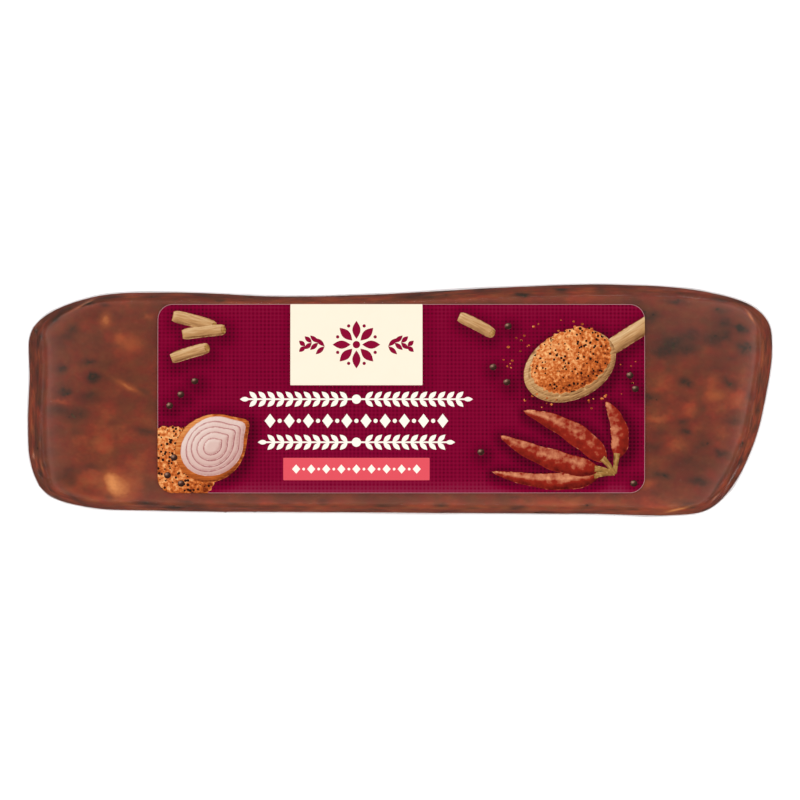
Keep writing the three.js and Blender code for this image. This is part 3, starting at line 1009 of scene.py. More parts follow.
@dataclass(frozen=True)
class FilmFinish:
    """Thin clear film: glossy, with a faint milkiness that also carries painted sheen, a painted highlight
    line along the crease and painted glints on the rim.
    """

    # the diffuse colour of the film's milkiness, which also paints its sheen, highlight line and glints
    haze_and_sheen: Colour = tint(226, 196, 190)
    roughness: float = 0.16
    bending: float = 1.42
    most_mirrored: float = 0.2
    ripple_size: float = 3.2 * MM
    ripple_height: float = 0.15 * MM
    cloud_size: float = 30 * MM

    def material(self) -> bpy.types.Material:
        """Builds the film's material, which reads the gloss number of its mesh and the number for its
        milkiness and painted sheen.

        Returns:
            The material.
        """
        material, sheet, output = new_material("clear_film")
        place = sheet.object_place()
        ripple = sheet.add("ShaderNodeBump", {
            "Strength": 0.22, "Distance": self.ripple_height,
            "Height": sheet.speckle(place, self.ripple_size, 1)})
        fresnel = sheet.add("ShaderNodeFresnel", {"IOR": self.bending, "Normal": ripple.outputs[0]})
        mirrored = sheet.math("MINIMUM", fresnel.outputs[0], self.most_mirrored)
        mirrored = sheet.math("MULTIPLY", mirrored, sheet.attribute("gloss"))
        clear = sheet.add("ShaderNodeBsdfTransparent")
        gloss = sheet.add("ShaderNodeBsdfGlossy", {
            "Roughness": self.roughness, "Normal": ripple.outputs[0]})
        dull = sheet.add("ShaderNodeBsdfDiffuse", {"Color": self.haze_and_sheen})
        cloud = sheet.math("ADD", sheet.speckle(place, self.cloud_size, 2), 0.5)
        # milkiness mixed with painted sheen, a painted highlight line and painted glints, as the mesh holds
        # them
        haze_and_sheen = sheet.math("MULTIPLY", sheet.attribute("haze_and_sheen"), cloud, clamp=True)
        veiled = sheet.add("ShaderNodeMixShader", {0: haze_and_sheen, 1: clear.outputs[0], 2: dull.outputs[0]})
        shader = sheet.add("ShaderNodeMixShader", {
            0: mirrored, 1: veiled.outputs[0], 2: gloss.outputs[0]})
        sheet.tree.links.new(shader.outputs[0], output.inputs["Surface"])
        return material


@dataclass
class Film:
    """The film, drawn tight over the meat, with fine creases along its rim and at its corners.

    Its layer of milkiness with painted sheen, its painted highlight line and its dull band fade with distance
    from the crease round the upper face.
    """

    form: PackForm
    finish: FilmFinish = FilmFinish()
    around: int = 800
    rim_creases: int = 110
    corner_creases: int = 44
    crest_haze_and_glint: float = 0.07
    # strength of the painted highlight line along the crease, strongest at the ends, standing for the lamps'
    # reflection
    crease_painted_highlight: float = 0.05
    crease_reach: float = 2.6 * MM
    # milkiness and painted sheen over the upper face, fading inwards from the crease
    veil_and_sheen: float = 0.02
    veil_reach: float = 14 * MM
    dull_reach: float = 1.1 * MM
    dulling: float = 0.93
    crest_height: float = 0.2 * MM
    crease_points: int = 2400
    ends_from: float = 95 * MM
    ends_over: float = 30 * MM
    face_depth: float = 0.7 * MM
    face_fade: float = 0.35 * MM
    least_crease: float = 0.08
    least_veil: float = 0.55
    side_rings: int = 22
    rim_rings: int = 44
    face_pitch: float = 1.7 * MM
    under_pitch: float = 3 * MM
    seed: int = 8

    def build(self) -> bpy.types.Object:
        """Makes the film and dresses it.

        Returns:
            The film as one closed mesh.
        """
        skin = self.form.skin(self.around, self.side_rings, self.rim_rings,
                              self.face_pitch, self.under_pitch)
        piece = new_piece("film", skin.points, skin.faces)
        relief = np.zeros(len(skin.points))
        relief[:skin.ring_count] = self.creases(skin)
        push_out(piece.data, relief)
        # the crest of each standing crease gets a little milkiness where the film is bent, and painted
        # highlight that shows the creases in any light
        crest_haze_and_glints = np.clip(relief / self.crest_height, 0, 1) * self.crest_haze_and_glint
        away = distance_to(resampled(self.form.crease(), self.crease_points), skin.points)
        store(piece.data, "haze_and_sheen", np.clip(self.haze_and_sheen(skin, away), 0, 1) + crest_haze_and_glints)
        above = skin.points[:, 2] > self.form.widest_height
        store(piece.data, "gloss", 1 - self.dulling * above * np.exp(-((away / self.dull_reach) ** 4)))
        piece.data.materials.append(self.finish.material())
        return piece

    def creases(self, skin: Skin) -> np.ndarray:
        """How far the film's fine creases stand out or sink in at each ring vertex.

        Args:
            skin: The film's skin.

        Returns:
            A distance in metres for each ring vertex, above 0 where it stands out.
        """
        random = np.random.default_rng(self.seed)
        perimeter = skin.perimeter
        corners = self.corner_places(perimeter)
        relief = np.zeros(skin.ring_count)
        for number in range(self.rim_creases + self.corner_creases):
            if number < self.rim_creases:
                middle = random.uniform(0, perimeter)
                height = random.uniform(-17, 17) * MM
                slant = random.normal(0, 0.06)
                half_length = random.uniform(7, 34) * MM
            else:
                middle = random.choice(corners) + random.normal(0, 5 * MM)
                height = random.uniform(-15, 13) * MM
                slant = random.uniform(-1.6, 1.6)
                half_length = random.uniform(3, 9) * MM
            half_width = random.uniform(0.45, 0.9) * MM
            rise = random.choice((-1, 1)) * random.uniform(0.06, 0.24) * MM
            away = (skin.along - middle + perimeter / 2) % perimeter - perimeter / 2
            taper = np.clip(1 - (away / half_length) ** 2, 0, None)
            across = (skin.across - height - slant * away) / half_width
            relief += rise * taper * np.exp(-(across**2))
        return relief

    def corner_places(self, perimeter: float) -> np.ndarray:
        """How far round the outline its four corners lie, where it turns most sharply.

        Args:
            perimeter: The length of the outline.

        Returns:
            Four distances from the outline's first point.
        """
        quarters = [(-1, -1), (1, -1), (1, 1), (-1, 1)]
        numbers = [int(np.argmax(self.form.normals @ np.array(q))) for q in quarters]
        return np.array(numbers) * perimeter / len(self.form.outline)

    def haze_and_sheen(self, skin: Skin, away: np.ndarray) -> np.ndarray:
        """How much milkiness and painted light the film carries.

        A painted highlight line and a layer of milkiness with painted sheen begin sharply at the crease and
        fade over the upper face, and the rim has thin painted glints.

        Args:
            skin: The film's mesh.
            away: How far each vertex is from the crease, seen from above.

        Returns:
            The share of the light that the milkiness and painted light stop, for each vertex.
        """
        flat = skin.points[:, :2]
        ends = np.clip((np.abs(flat[:, 0]) - self.ends_from) / self.ends_over, 0, 1)
        rise = skin.points[:, 2] - self.form.upper_height(flat) + self.face_depth
        on_face = np.clip(rise / self.face_fade, 0, 1)
        line_share = self.least_crease + (1 - self.least_crease) * ends
        # painted highlight along the crease
        line = self.crease_painted_highlight * line_share * np.exp(-away / self.crease_reach)
        veil_share = self.least_veil + (1 - self.least_veil) * ends
        # milkiness with painted sheen over the upper face
        veil_and_sheen = self.veil_and_sheen * veil_share * np.exp(-away / self.veil_reach)
        # painted glints on the rim
        painted_glints = (1 - on_face) * sum(painted_glint.cover(flat) for painted_glint in PAINTED_GLINTS)
        above = skin.points[:, 2] > self.form.widest_height
        milky_and_sheen = sum(place.cover(flat) for place in MILKY_AND_SHEEN_PLACES)
        return on_face * (line + veil_and_sheen + milky_and_sheen) + above * painted_glints


class Grain(Enum):
    """The fine pattern inside a printed area."""

    PLAIN = "plain"
    WOVEN = "woven"
    GRANULAR = "granular"
    FIBROUS = "fibrous"
    GLOSSY = "glossy"


@dataclass(frozen=True)
class Ink:
    """One printed colour, with its darker and lighter tones and the grain drawn in it."""

    name: str
    dark: Colour
    middle: Colour
    light: Colour
    grain: Grain = Grain.PLAIN
    gloss: float = 0.0
    fleck: Colour = tint(44, 20, 14)
    fleck_size: float = 1.5 * MM
    fleck_patch: float = 5 * MM
    fleck_reach: float = 0.55
    thread: float = 1.42 * MM
    slub: float = 1.1 * MM
    roughness: float = 0.5
    shine: float = 0.04

    def material(self) -> bpy.types.Material:
        """Builds the ink's material, which reads the tone number of the label's mesh.

        Returns:
            The material.
        """
        material, sheet, output = new_material("print_" + self.name)
        place = sheet.object_place()
        tone = sheet.math("ADD", sheet.attribute("tone"), self.pattern(sheet, place))
        colour = sheet.ramp(tone, ((0.0, self.dark), (0.5, self.middle), (1.0, self.light)))
        if self.grain is Grain.GRANULAR:
            cells = sheet.add("ShaderNodeTexVoronoi", {"Vector": place, "Scale": 1 / self.fleck_size})
            thick = sheet.speckle(place, self.fleck_patch, 1)
            reach = sheet.math("MULTIPLY", thick, self.fleck_reach)
            near = sheet.math("LESS_THAN", cells.outputs["Distance"], reach)
            colour = sheet.blend(near, colour, self.fleck)
        shader = sheet.add("ShaderNodeBsdfPrincipled", {
            "Base Color": colour, "Roughness": self.roughness, "Specular IOR Level": self.shine})
        sheet.tree.links.new(shader.outputs[0], output.inputs["Surface"])
        return material

    def pattern(self, sheet: NodeSheet, place: bpy.types.NodeSocket) -> bpy.types.NodeSocket:
        """How much the grain lightens or darkens the ink's tone.

        Args:
            sheet: The material's sheet.
            place: The label's own coordinates.

        Returns:
            The socket of a number about 0.
        """
        if self.grain is Grain.WOVEN:
            return self.weave(sheet, place)
        if self.grain is Grain.FIBROUS:
            place = sheet.add("ShaderNodeAttribute", attribute_name="along_fibre").outputs["Vector"]
        sizes = {Grain.PLAIN: (6 * MM, 1, 0.06, (1, 1, 1)),
                 Grain.GRANULAR: (1.1 * MM, 3, 2.0, (1, 1, 1)),
                 Grain.FIBROUS: (1.1 * MM, 3, 0.9, (5, 0.5, 1)),
                 Grain.GLOSSY: (2.4 * MM, 2, 0.7, (1, 1, 1))}
        size, detail, strength, stretch = sizes[self.grain]
        even = sheet.math("SUBTRACT", sheet.speckle(place, size, detail, stretch), 0.5)
        return sheet.math("MULTIPLY", even, strength)

    def weave(self, sheet: NodeSheet, place: bpy.types.NodeSocket) -> bpy.types.NodeSocket:
        """The shade of a fine linen: dark gaps between threads of uneven thickness.

        Args:
            sheet: The material's sheet.
            place: The label's own coordinates.

        Returns:
            The socket of a number, below 0 in the gaps.
        """
        apart = sheet.add("ShaderNodeSeparateXYZ", {0: place}).outputs
        waves = []
        for number, stretch in ((0, (0.6, 14, 1)), (1, (14, 0.6, 1))):
            uneven = sheet.speckle(place, self.slub, 2, stretch)
            wave = sheet.math("SINE", sheet.math("MULTIPLY", apart[number], math.tau / self.thread))
            waves.append(sheet.math("MULTIPLY", sheet.math("ADD", wave, 1.0), uneven))
        gaps = sheet.math("MULTIPLY", waves[0], waves[1])
        lines = sheet.math("ADD", waves[0], waves[1])
        dark = sheet.math("ADD", sheet.math("MULTIPLY", gaps, -0.22), sheet.math("MULTIPLY", lines, -0.05))
        return sheet.math("ADD", dark, 0.06)


PAPER = Ink("paper", tint(150, 110, 112), tint(196, 150, 150), tint(230, 206, 204))
BURGUNDY = Ink("burgundy", tint(62, 0, 20), tint(128, 0, 45), tint(143, 44, 74), Grain.WOVEN, shine=0.03)
CREAM = Ink("cream", tint(224, 208, 176), tint(252, 240, 218), tint(255, 246, 232))
EMBLEM = Ink("emblem", tint(120, 8, 40), tint(140, 8, 50), tint(170, 30, 70))
LINES = Ink("lines", tint(230, 216, 196), tint(255, 247, 234), tint(255, 252, 244))
CORAL = Ink("coral", tint(208, 62, 78), tint(230, 84, 96), tint(240, 112, 120))
SPICE = Ink("spice", tint(112, 38, 14), tint(204, 104, 44), tint(252, 188, 122), Grain.GRANULAR)
ONION = Ink("onion_flesh", tint(178, 122, 116), tint(217, 182, 172), tint(250, 236, 226))
ONION_RING = Ink("onion_ring", tint(150, 84, 88), tint(190, 134, 130), tint(224, 184, 176))
SKIN = Ink("onion_skin", tint(96, 34, 12), tint(190, 96, 38), tint(246, 176, 104), Grain.FIBROUS)
CHILLI = Ink("chilli", tint(50, 2, 8), tint(146, 36, 22), tint(246, 172, 124), Grain.GLOSSY, 0.42)
STALK = Ink("stalk", tint(84, 54, 24), tint(160, 114, 58), tint(222, 182, 122), Grain.FIBROUS)
WOOD = Ink("wood", tint(108, 64, 34), tint(190, 142, 92), tint(240, 208, 160), Grain.FIBROUS)
BERRY = Ink("berry", tint(18, 8, 8), tint(64, 38, 30), tint(170, 130, 110), Grain.PLAIN, 0.5)


@dataclass(frozen=True)
class PrintShape:
    """A printed shape: an outline in millimetres about the label's middle, and how it is inked.

    round_over is how far in from its edge the shape is shaded as a solid, shadow how dark the soft shadow
    is that it throws on the ground, and fibre the direction in degrees that its fibres run in.
    """

    outline: np.ndarray
    ink: Ink
    round_over: float = 0.0
    shadow: float = 0.0
    fibre: float = 0.0


def ellipse(x: float, y: float, rx: float, ry: float, turn: float = 0.0, count: int = 40) -> np.ndarray:
    """An anticlockwise ellipse, turned by an angle in degrees.

    Args:
        x, y: Its middle.
        rx, ry: Half its length and width.
        turn: The angle.
        count: The number of points.

    Returns:
        The points.
    """
    angle = np.arange(count) * math.tau / count
    flat = np.column_stack([rx * np.cos(angle), ry * np.sin(angle)])
    return turned(flat, turn) + (x, y)


def leaf(x: float, y: float, length: float, width: float, turn: float, count: int = 8) -> np.ndarray:
    """An anticlockwise pointed oval from its foot, turned by an angle in degrees.

    Args:
        x, y: Its foot.
        length, width: Its size.
        turn: The angle.
        count: Half the number of points.

    Returns:
        The points.
    """
    t = np.arange(2 * count) / count
    flat = np.column_stack([length * (1 - np.abs(1 - t)), -width / 2 * np.sin(math.pi * t)])
    return turned(flat, turn) + (x, y)


def dense(outline: np.ndarray, step: float) -> np.ndarray:
    """A closed outline with extra points along its sides, no further apart than a step.

    Args:
        outline: The outline.
        step: The furthest that two neighbours may be apart.

    Returns:
        The denser outline.
    """
    points = []
    for start, end in zip(outline, np.roll(outline, -1, axis=0)):
        parts = max(1, math.ceil(np.linalg.norm(end - start) / step))
        points += [start + (end - start) * k / parts for k in range(parts)]
    return np.array(points)


def turned(flat: np.ndarray, degrees: float) -> np.ndarray:
    """Points turned anticlockwise about the origin."""
    c, s = math.cos(math.radians(degrees)), math.sin(math.radians(degrees))
    return flat @ np.array([[c, s], [-s, c]])


def rounded_box(x: float, y: float, width: float, height: float, corner: float, steps: int = 6) -> np.ndarray:
    """An anticlockwise box with round corners about a middle.

    Args:
        x, y: The middle.
        width, height: The box's size.
        corner: The radius of its corners.
        steps: Steps round each corner.

    Returns:
        The points.
    """
    points = []
    for number, (sx, sy) in enumerate(((1, -1), (1, 1), (-1, 1), (-1, -1))):
        for k in range(steps + 1):
            angle = math.pi / 2 * (number - 1 + k / steps)
            points.append((x + sx * (width / 2 - corner) + corner * math.cos(angle),
                           y + sy * (height / 2 - corner) + corner * math.sin(angle)))
    return np.array(points)


def ribbon(start: Sequence[float], bend: Sequence[float], end: Sequence[float],
           half_width: Callable[[np.ndarray], np.ndarray], count: int = 26) -> np.ndarray:
    """A tapering shape along a bent line.

    Args:
        start, bend, end: The line's ends and the point that it bends towards.
        half_width: Half the width at shares of the line's length, in millimetres.
        count: Steps along the line.

    Returns:
        The anticlockwise outline.
    """
    t = np.linspace(0, 1, count)[:, None]
    a, b, c = (np.array(p, float) for p in (start, bend, end))
    line = (1 - t) ** 2 * a + 2 * t * (1 - t) * b + t**2 * c
    along = 2 * (1 - t) * (b - a) + 2 * t * (c - b)
    side = np.column_stack([along[:, 1], -along[:, 0]]) / np.linalg.norm(along, axis=1, keepdims=True)
    width = np.maximum(half_width(t[:, 0]), 0.02)[:, None]
    return np.vstack([line + side * width, (line - side * width)[::-1]])


def nearest_edge(outline: np.ndarray, flat: np.ndarray, blend: float = 0.01) -> tuple[np.ndarray, np.ndarray]:
    """The distance to a closed outline, and the direction to its nearest part.

    Args:
        outline: The closed outline.
        flat: The places to measure from.
        blend: How much further than the nearest part another part may be and still turn the direction.

    Returns:
        The distances, and the directions, shorter than 1 where parts on two sides are about as near.
    """
    start = outline
    along = np.roll(outline, -1, axis=0) - start
    squared = np.maximum((along**2).sum(axis=1), 1e-12)
    distances, directions = [], []
    for block in np.array_split(flat, max(1, len(flat) // PLACES_AT_ONCE)):
        offset = block[:, None] - start
        share = np.clip((offset * along).sum(axis=2) / squared, 0, 1)
        gap = offset - share[..., None] * along
        length = np.linalg.norm(gap, axis=2)
        nearest = length.min(axis=1)
        weight = np.exp((nearest[:, None] - length) / blend)
        weight /= weight.sum(axis=1)[:, None] * np.maximum(length, 1e-9)
        distances.append(nearest)
        directions.append(-(gap * weight[..., None]).sum(axis=1))
    return np.concatenate(distances), np.concatenate(directions)


def inside(outline: np.ndarray, flat: np.ndarray) -> np.ndarray:
    """Tells which places lie inside a closed outline.

    Args:
        outline: The outline.
        flat: The places.

    Returns:
        True or False for each place.
    """
    after = np.roll(outline, -1, axis=0)
    result = np.zeros(len(flat), bool)
    for (x0, y0), (x1, y1) in zip(outline, after):
        if y0 != y1:
            spans = (y0 > flat[:, 1]) != (y1 > flat[:, 1])
            result ^= spans & (flat[:, 0] < (x1 - x0) * (flat[:, 1] - y0) / (y1 - y0) + x0)
    return result


@dataclass
class LabelPrint:
    """The label's generic print: a cream panel with a rosette, garlands, a coral bar and spices.

    Its places and sizes are in millimetres, about the label's middle.
    """

    length: float
    width: float
    corner: float = 5.5
    paper_edge: float = 0.14
    panel_x: float = -16.4
    panel_y: float = 19.7
    panel_size: tuple[float, float] = (48.2, 29.6)
    bar_y: float = -25.7
    bar_size: tuple[float, float] = (53.4, 8.2)
    heap_middle: tuple[float, float] = (-86.5, -26.0)
    heap_reach: tuple[float, float] = (21.0, 15.5)
    spoon_middle: tuple[float, float] = (61.5, 12.0)
    spoon_reach: tuple[float, float] = (17.6, 12.4)
    onion_middle: tuple[float, float] = (-69.0, -17.5)
    onion_reach: tuple[float, float] = (12.0, 10.3)
    onion_skin_reach: tuple[float, float] = (13.6, 11.9)
    onion_turn: float = 35
    onion_rings: tuple[float, ...] = (0.86, 0.69, 0.5, 0.3)
    onion_ring_width: float = 0.035
    raggedness: float = 0.55
    grain_margin: float = 1.5
    seed: int = 5

    def shapes(self) -> list[PrintShape]:
        """All printed shapes, from the lowest to the topmost.

        Returns:
            The shapes, of which the first is the whole label.
        """
        whole = rounded_box(0, 0, self.length, self.width, self.corner, 10)
        ground = rounded_box(0, 0, self.length - 2 * self.paper_edge, self.width - 2 * self.paper_edge,
                             self.corner - self.paper_edge, 10)
        shapes = [PrintShape(whole, PAPER), PrintShape(ground, BURGUNDY)]
        shapes += self.heap() + self.onion() + self.sticks() + self.chillies() + self.spoon() + self.berries()
        return shapes + self.panel() + self.rows()

    def heap(self) -> list[PrintShape]:
        """A heap of orange rub that runs off the label's lower left corner."""
        outline = self.ragged(ellipse(*self.heap_middle, *self.heap_reach, 14, 110), self.raggedness)
        return [PrintShape(outline, SPICE, round_over=9.0, shadow=0.7)]

    def onion(self) -> list[PrintShape]:
        """Half an onion, cut face up.

        Returns:
            The shapes.
        """
        x, y = self.onion_middle
        rx, ry = self.onion_reach
        skin = self.onion_outline(x - 0.5, y - 0.5, *self.onion_skin_reach, self.onion_turn)
        flesh = self.onion_outline(x, y, rx, ry, self.onion_turn)
        shapes = [PrintShape(skin, SKIN, round_over=2.6, shadow=0.8),
                  PrintShape(flesh, ONION, round_over=2.2)]
        for share in self.onion_rings:
            for scale, ink in ((share, ONION_RING), (share - self.onion_ring_width, ONION)):
                ring = self.onion_outline(x, y, rx * scale, ry * scale, self.onion_turn)
                shapes.append(PrintShape(ring, ink, round_over=1.1))
        return shapes

    @staticmethod
    def onion_outline(x: float, y: float, rx: float, ry: float, turn: float) -> np.ndarray:
        """A round outline drawn out to a blunt tip at one end.

        Args:
            x, y: Its middle.
            rx, ry: Half its length and width.
            turn: The direction of its tip, in degrees.

        Returns:
            The points.
        """
        angle = np.arange(56) * math.tau / 56
        tip = 1 + 0.22 * np.exp(-((np.minimum(angle, math.tau - angle) / 0.3) ** 2))
        uneven = 1 + 0.015 * np.sin(3 * angle + rx)
        flat = np.column_stack([rx * np.cos(angle) * tip, ry * np.sin(angle)]) * uneven[:, None]
        return turned(flat, turn) + (x, y)

    @staticmethod
    def sticks() -> list[PrintShape]:
        """Rolled sticks of bark, three at the upper left and one beside the panel.

        Returns:
            The shapes.
        """
        rods = (((-83.5, 30.2), (-68.0, 26.0), 2.3), ((-80.0, 23.4), (-64.5, 25.2), 2.1),
                ((-84.0, 14.6), (-70.5, 18.6), 2.1), ((21.0, 30.0), (33.5, 23.5), 2.1))
        shapes = []
        for start, end, half in rods:
            middle = np.add(start, end) / 2 + (0.4, 0.5)
            outline = ribbon(start, middle, end, lambda t, h=half: h * (1 - 0.25 * (2 * t - 1) ** 8), 16)
            core = np.add(start, np.subtract(end, start) * 0.97)
            lie = math.degrees(math.atan2(end[1] - start[1], end[0] - start[0]))
            cut_end = ellipse(*core, half * 0.45, half * 0.72, lie, 14)
            shapes += [PrintShape(outline, WOOD, round_over=half, shadow=0.6, fibre=lie),
                       PrintShape(cut_end, STALK, round_over=0.9, fibre=lie)]
        return shapes

    @staticmethod
    def chillies() -> list[PrintShape]:
        """Four dried chillies that fan out from their stalks.

        Returns:
            The shapes.
        """
        knot = np.array([78.0, -27.5])
        shapes = []
        for start, bend, end, half in (((72.0, -28.0), (57.0, -33.2), (33.0, -26.6), 3.6),
                                       ((72.2, -26.0), (54.0, -24.0), (36.0, -13.5), 4.4),
                                       ((78.6, -21.6), (82.5, -11.0), (74.5, -1.0), 3.8),
                                       ((74.4, -23.0), (65.0, -10.5), (44.5, -4.5), 4.6)):
            body = ribbon(start, bend, end,
                          lambda t, h=half: h * np.sqrt(np.clip(4 * t * (1 - t), 0, 1)) * (1.1 - 0.55 * t)
                          * (1 + 0.05 * np.sin(21 * t + h)), 36)
            foot = np.array(start) + (np.array(start) - knot) * 0.28
            lie = math.degrees(math.atan2(*(foot - knot)[::-1]))
            stalk = ribbon(foot, (foot + knot) / 2 + (0, 0.8), knot, lambda t: 1.15 - 0.5 * t, 10)
            shapes += [PrintShape(body, CHILLI, round_over=half * 0.95, shadow=0.85),
                       PrintShape(stalk, STALK, round_over=0.8, shadow=0.3, fibre=lie)]
        return shapes

    def spoon(self) -> list[PrintShape]:
        """A wooden spoon heaped with orange rub, whose handle runs off the label's edge.

        Returns:
            The shapes.
        """
        x, y = self.spoon_middle
        handle = ribbon((x + 10.5, y + 3.4), (x + 18.5, y + 9.4), (x + 33.0, y + 17.8),
                        lambda t: 3.0 - 0.7 * np.exp(-((t / 0.2) ** 2)))
        bowl = ellipse(x, y, *self.spoon_reach, 24, 60)
        hollow = ellipse(x, y + 0.3, 15.9, 10.8, 24, 56)
        heap = self.ragged(ellipse(x + 0.3, y + 2.0, 15.4, 11.0, 26, 84), self.raggedness)
        return [PrintShape(handle, WOOD, round_over=2.6, shadow=0.7, fibre=33),
                PrintShape(bowl, WOOD, round_over=2.2, shadow=0.85, fibre=24),
                PrintShape(hollow, WOOD, round_over=1.2, fibre=24),
                PrintShape(heap, SPICE, round_over=8.0, shadow=0.4)]

    def ragged(self, outline: np.ndarray, amount: float) -> np.ndarray:
        """An outline whose points are moved in and out at random.

        Args:
            outline: The outline.
            amount: The furthest that a point moves, in millimetres.

        Returns:
            The ragged outline.
        """
        random = np.random.default_rng(self.seed)
        middle = outline.mean(axis=0)
        spokes = outline - middle
        steps = random.uniform(-amount, amount, len(outline))
        return middle + spokes * (1 + steps / np.linalg.norm(spokes, axis=1))[:, None]

    def berries(self) -> list[PrintShape]:
        """Peppercorns and loose grains of rub, strewn round the spices.

        Returns:
            The shapes.
        """
        random = np.random.default_rng(self.seed)
        shapes = []
        corns = ((33.5, 11.5), (38.5, 6.0), (39.0, 26.5), (83.5, 8.5), (85.5, 3.6),
                 (29.0, -19.5), (85.0, -31.0), (-80.5, 1.5), (-84.6, -2.6), (-75.4, 6.4),
                 (-83.0, -21.5), (-85.4, -28.0), (-80.4, -31.0))
        for x, y in corns:
            shapes.append(PrintShape(ellipse(x, y, 1.3, 1.2, 0, 16), BERRY, round_over=1.25, shadow=0.6))
        margin = self.grain_margin
        for middle, reach, count in ((self.spoon_middle, self.spoon_reach, 46),
                                     (self.heap_middle, self.heap_reach, 30)):
            for _ in range(count):
                angle, share = random.uniform(0, math.tau), random.uniform(1.04, 1.4)
                x = middle[0] + reach[0] * share * math.cos(angle)
                y = middle[1] + reach[1] * share * math.sin(angle)
                radius = random.uniform(0.25, 0.6)
                on_label = abs(x) < self.length / 2 - margin and abs(y) < self.width / 2 - margin
                by_onion = -81 < x < -53
                by_handle = x > 71 and y > 14
                if on_label and not by_onion and not by_handle:
                    grain = ellipse(x, y, radius, radius * 0.8, 0, 9)
                    shapes.append(PrintShape(grain, SPICE, round_over=radius, shadow=0.25))
        return shapes

    def panel(self) -> list[PrintShape]:
        """The cream panel, with a rosette between two leafy sprigs.

        Returns:
            The shapes.
        """
        x, y = self.panel_x, self.panel_y
        shapes = [PrintShape(rounded_box(x, y, *self.panel_size, corner=0.3, steps=2), CREAM, shadow=0.3)]
        for turn in range(0, 360, 45):
            foot = turned(np.array([[2.1, 0.0]]), turn)[0]
            petal = leaf(x + foot[0], y + foot[1], length=6.6, width=3.0, turn=turn)
            shapes.append(PrintShape(petal, EMBLEM))
            bead = turned(np.array([[7.4, 0.0]]), turn + 22.5)[0]
            shapes.append(PrintShape(ellipse(x + bead[0], y + bead[1], 0.62, 0.62, 0, 12), EMBLEM))
        shapes.append(PrintShape(ellipse(x, y, 1.35, 1.35, 0, 18), EMBLEM))
        for side in (-1, 1):
            for number in range(4):
                reach = 11.6 + 2.35 * number
                bow = 1.5 * math.sin(math.pi * number / 3)
                for tilt in (-1, 1):
                    heading = 90 - side * (90 - tilt * 42)
                    sprig = leaf(x + side * reach, y - 0.6 + bow, 4.4 - 0.45 * number, 1.7, heading)
                    shapes.append(PrintShape(sprig, EMBLEM))
        return shapes

    def rows(self) -> list[PrintShape]:
        """Three cream rows, garland, diamonds and garland, over the coral bar and its beads.

        Returns:
            The shapes.
        """
        x = self.panel_x
        shapes = self.garland(x, y=-0.2, length=85.0)
        shapes += self.diamonds(x, y=-8.1, length=63.0, pitch=7.0, height=5.2, width=4.0)
        shapes += self.garland(x, y=-15.9, length=72.0)
        bar = rounded_box(x, self.bar_y, *self.bar_size, corner=0.25, steps=2)
        shapes.append(PrintShape(bar, CORAL))
        return shapes + self.diamonds(x, self.bar_y, length=44.0, pitch=5.5, height=3.4, width=3.0)

    @staticmethod
    def garland(x: float, y: float, length: float) -> list[PrintShape]:
        """A row of paired leaves on a stem that grows both ways from a middle bead.

        Args:
            x, y: Its middle.
            length: Its length.

        Returns:
            The shapes.
        """
        stem = rounded_box(x, y, length - 4, 0.6, corner=0.28, steps=2)
        shapes = [PrintShape(stem, LINES), PrintShape(ellipse(x, y, 1.7, 1.7, 0, 20), LINES)]
        for side in (-1, 1):
            for reach in np.arange(3.2, length / 2 - 3.6, 3.3):
                for tilt in (-1, 1):
                    heading = 90 - side * (90 - tilt * 43)
                    blade = leaf(x + side * reach, y + tilt * 0.1, 3.9, 1.75, heading)
                    shapes.append(PrintShape(blade, LINES))
            tip = leaf(x + side * (length / 2 - 3.6), y, 3.6, 1.7, 90 - 90 * side)
            shapes.append(PrintShape(tip, LINES))
        return shapes

    @staticmethod
    def diamonds(x: float, y: float, length: float, pitch: float, height: float,
                 width: float) -> list[PrintShape]:
        """A row of diamonds with a bead between each two.

        Args:
            x, y: Its middle.
            length: About how long it is.
            pitch: From one diamond to the next.
            height, width: Each diamond's size.

        Returns:
            The shapes.
        """
        shapes = []
        count = int(length / pitch)
        for number in range(count + 1):
            place = x + (number - count / 2) * pitch
            corners = ((width / 2, 0), (0, height / 2), (-width / 2, 0), (0, -height / 2))
            shapes.append(PrintShape(np.array(corners) + (place, y), LINES))
            if number < count:
                bead = ellipse(place + pitch / 2, y, height * 0.15, height * 0.15, 0, 12)
                shapes.append(PrintShape(bead, LINES))
        return shapes


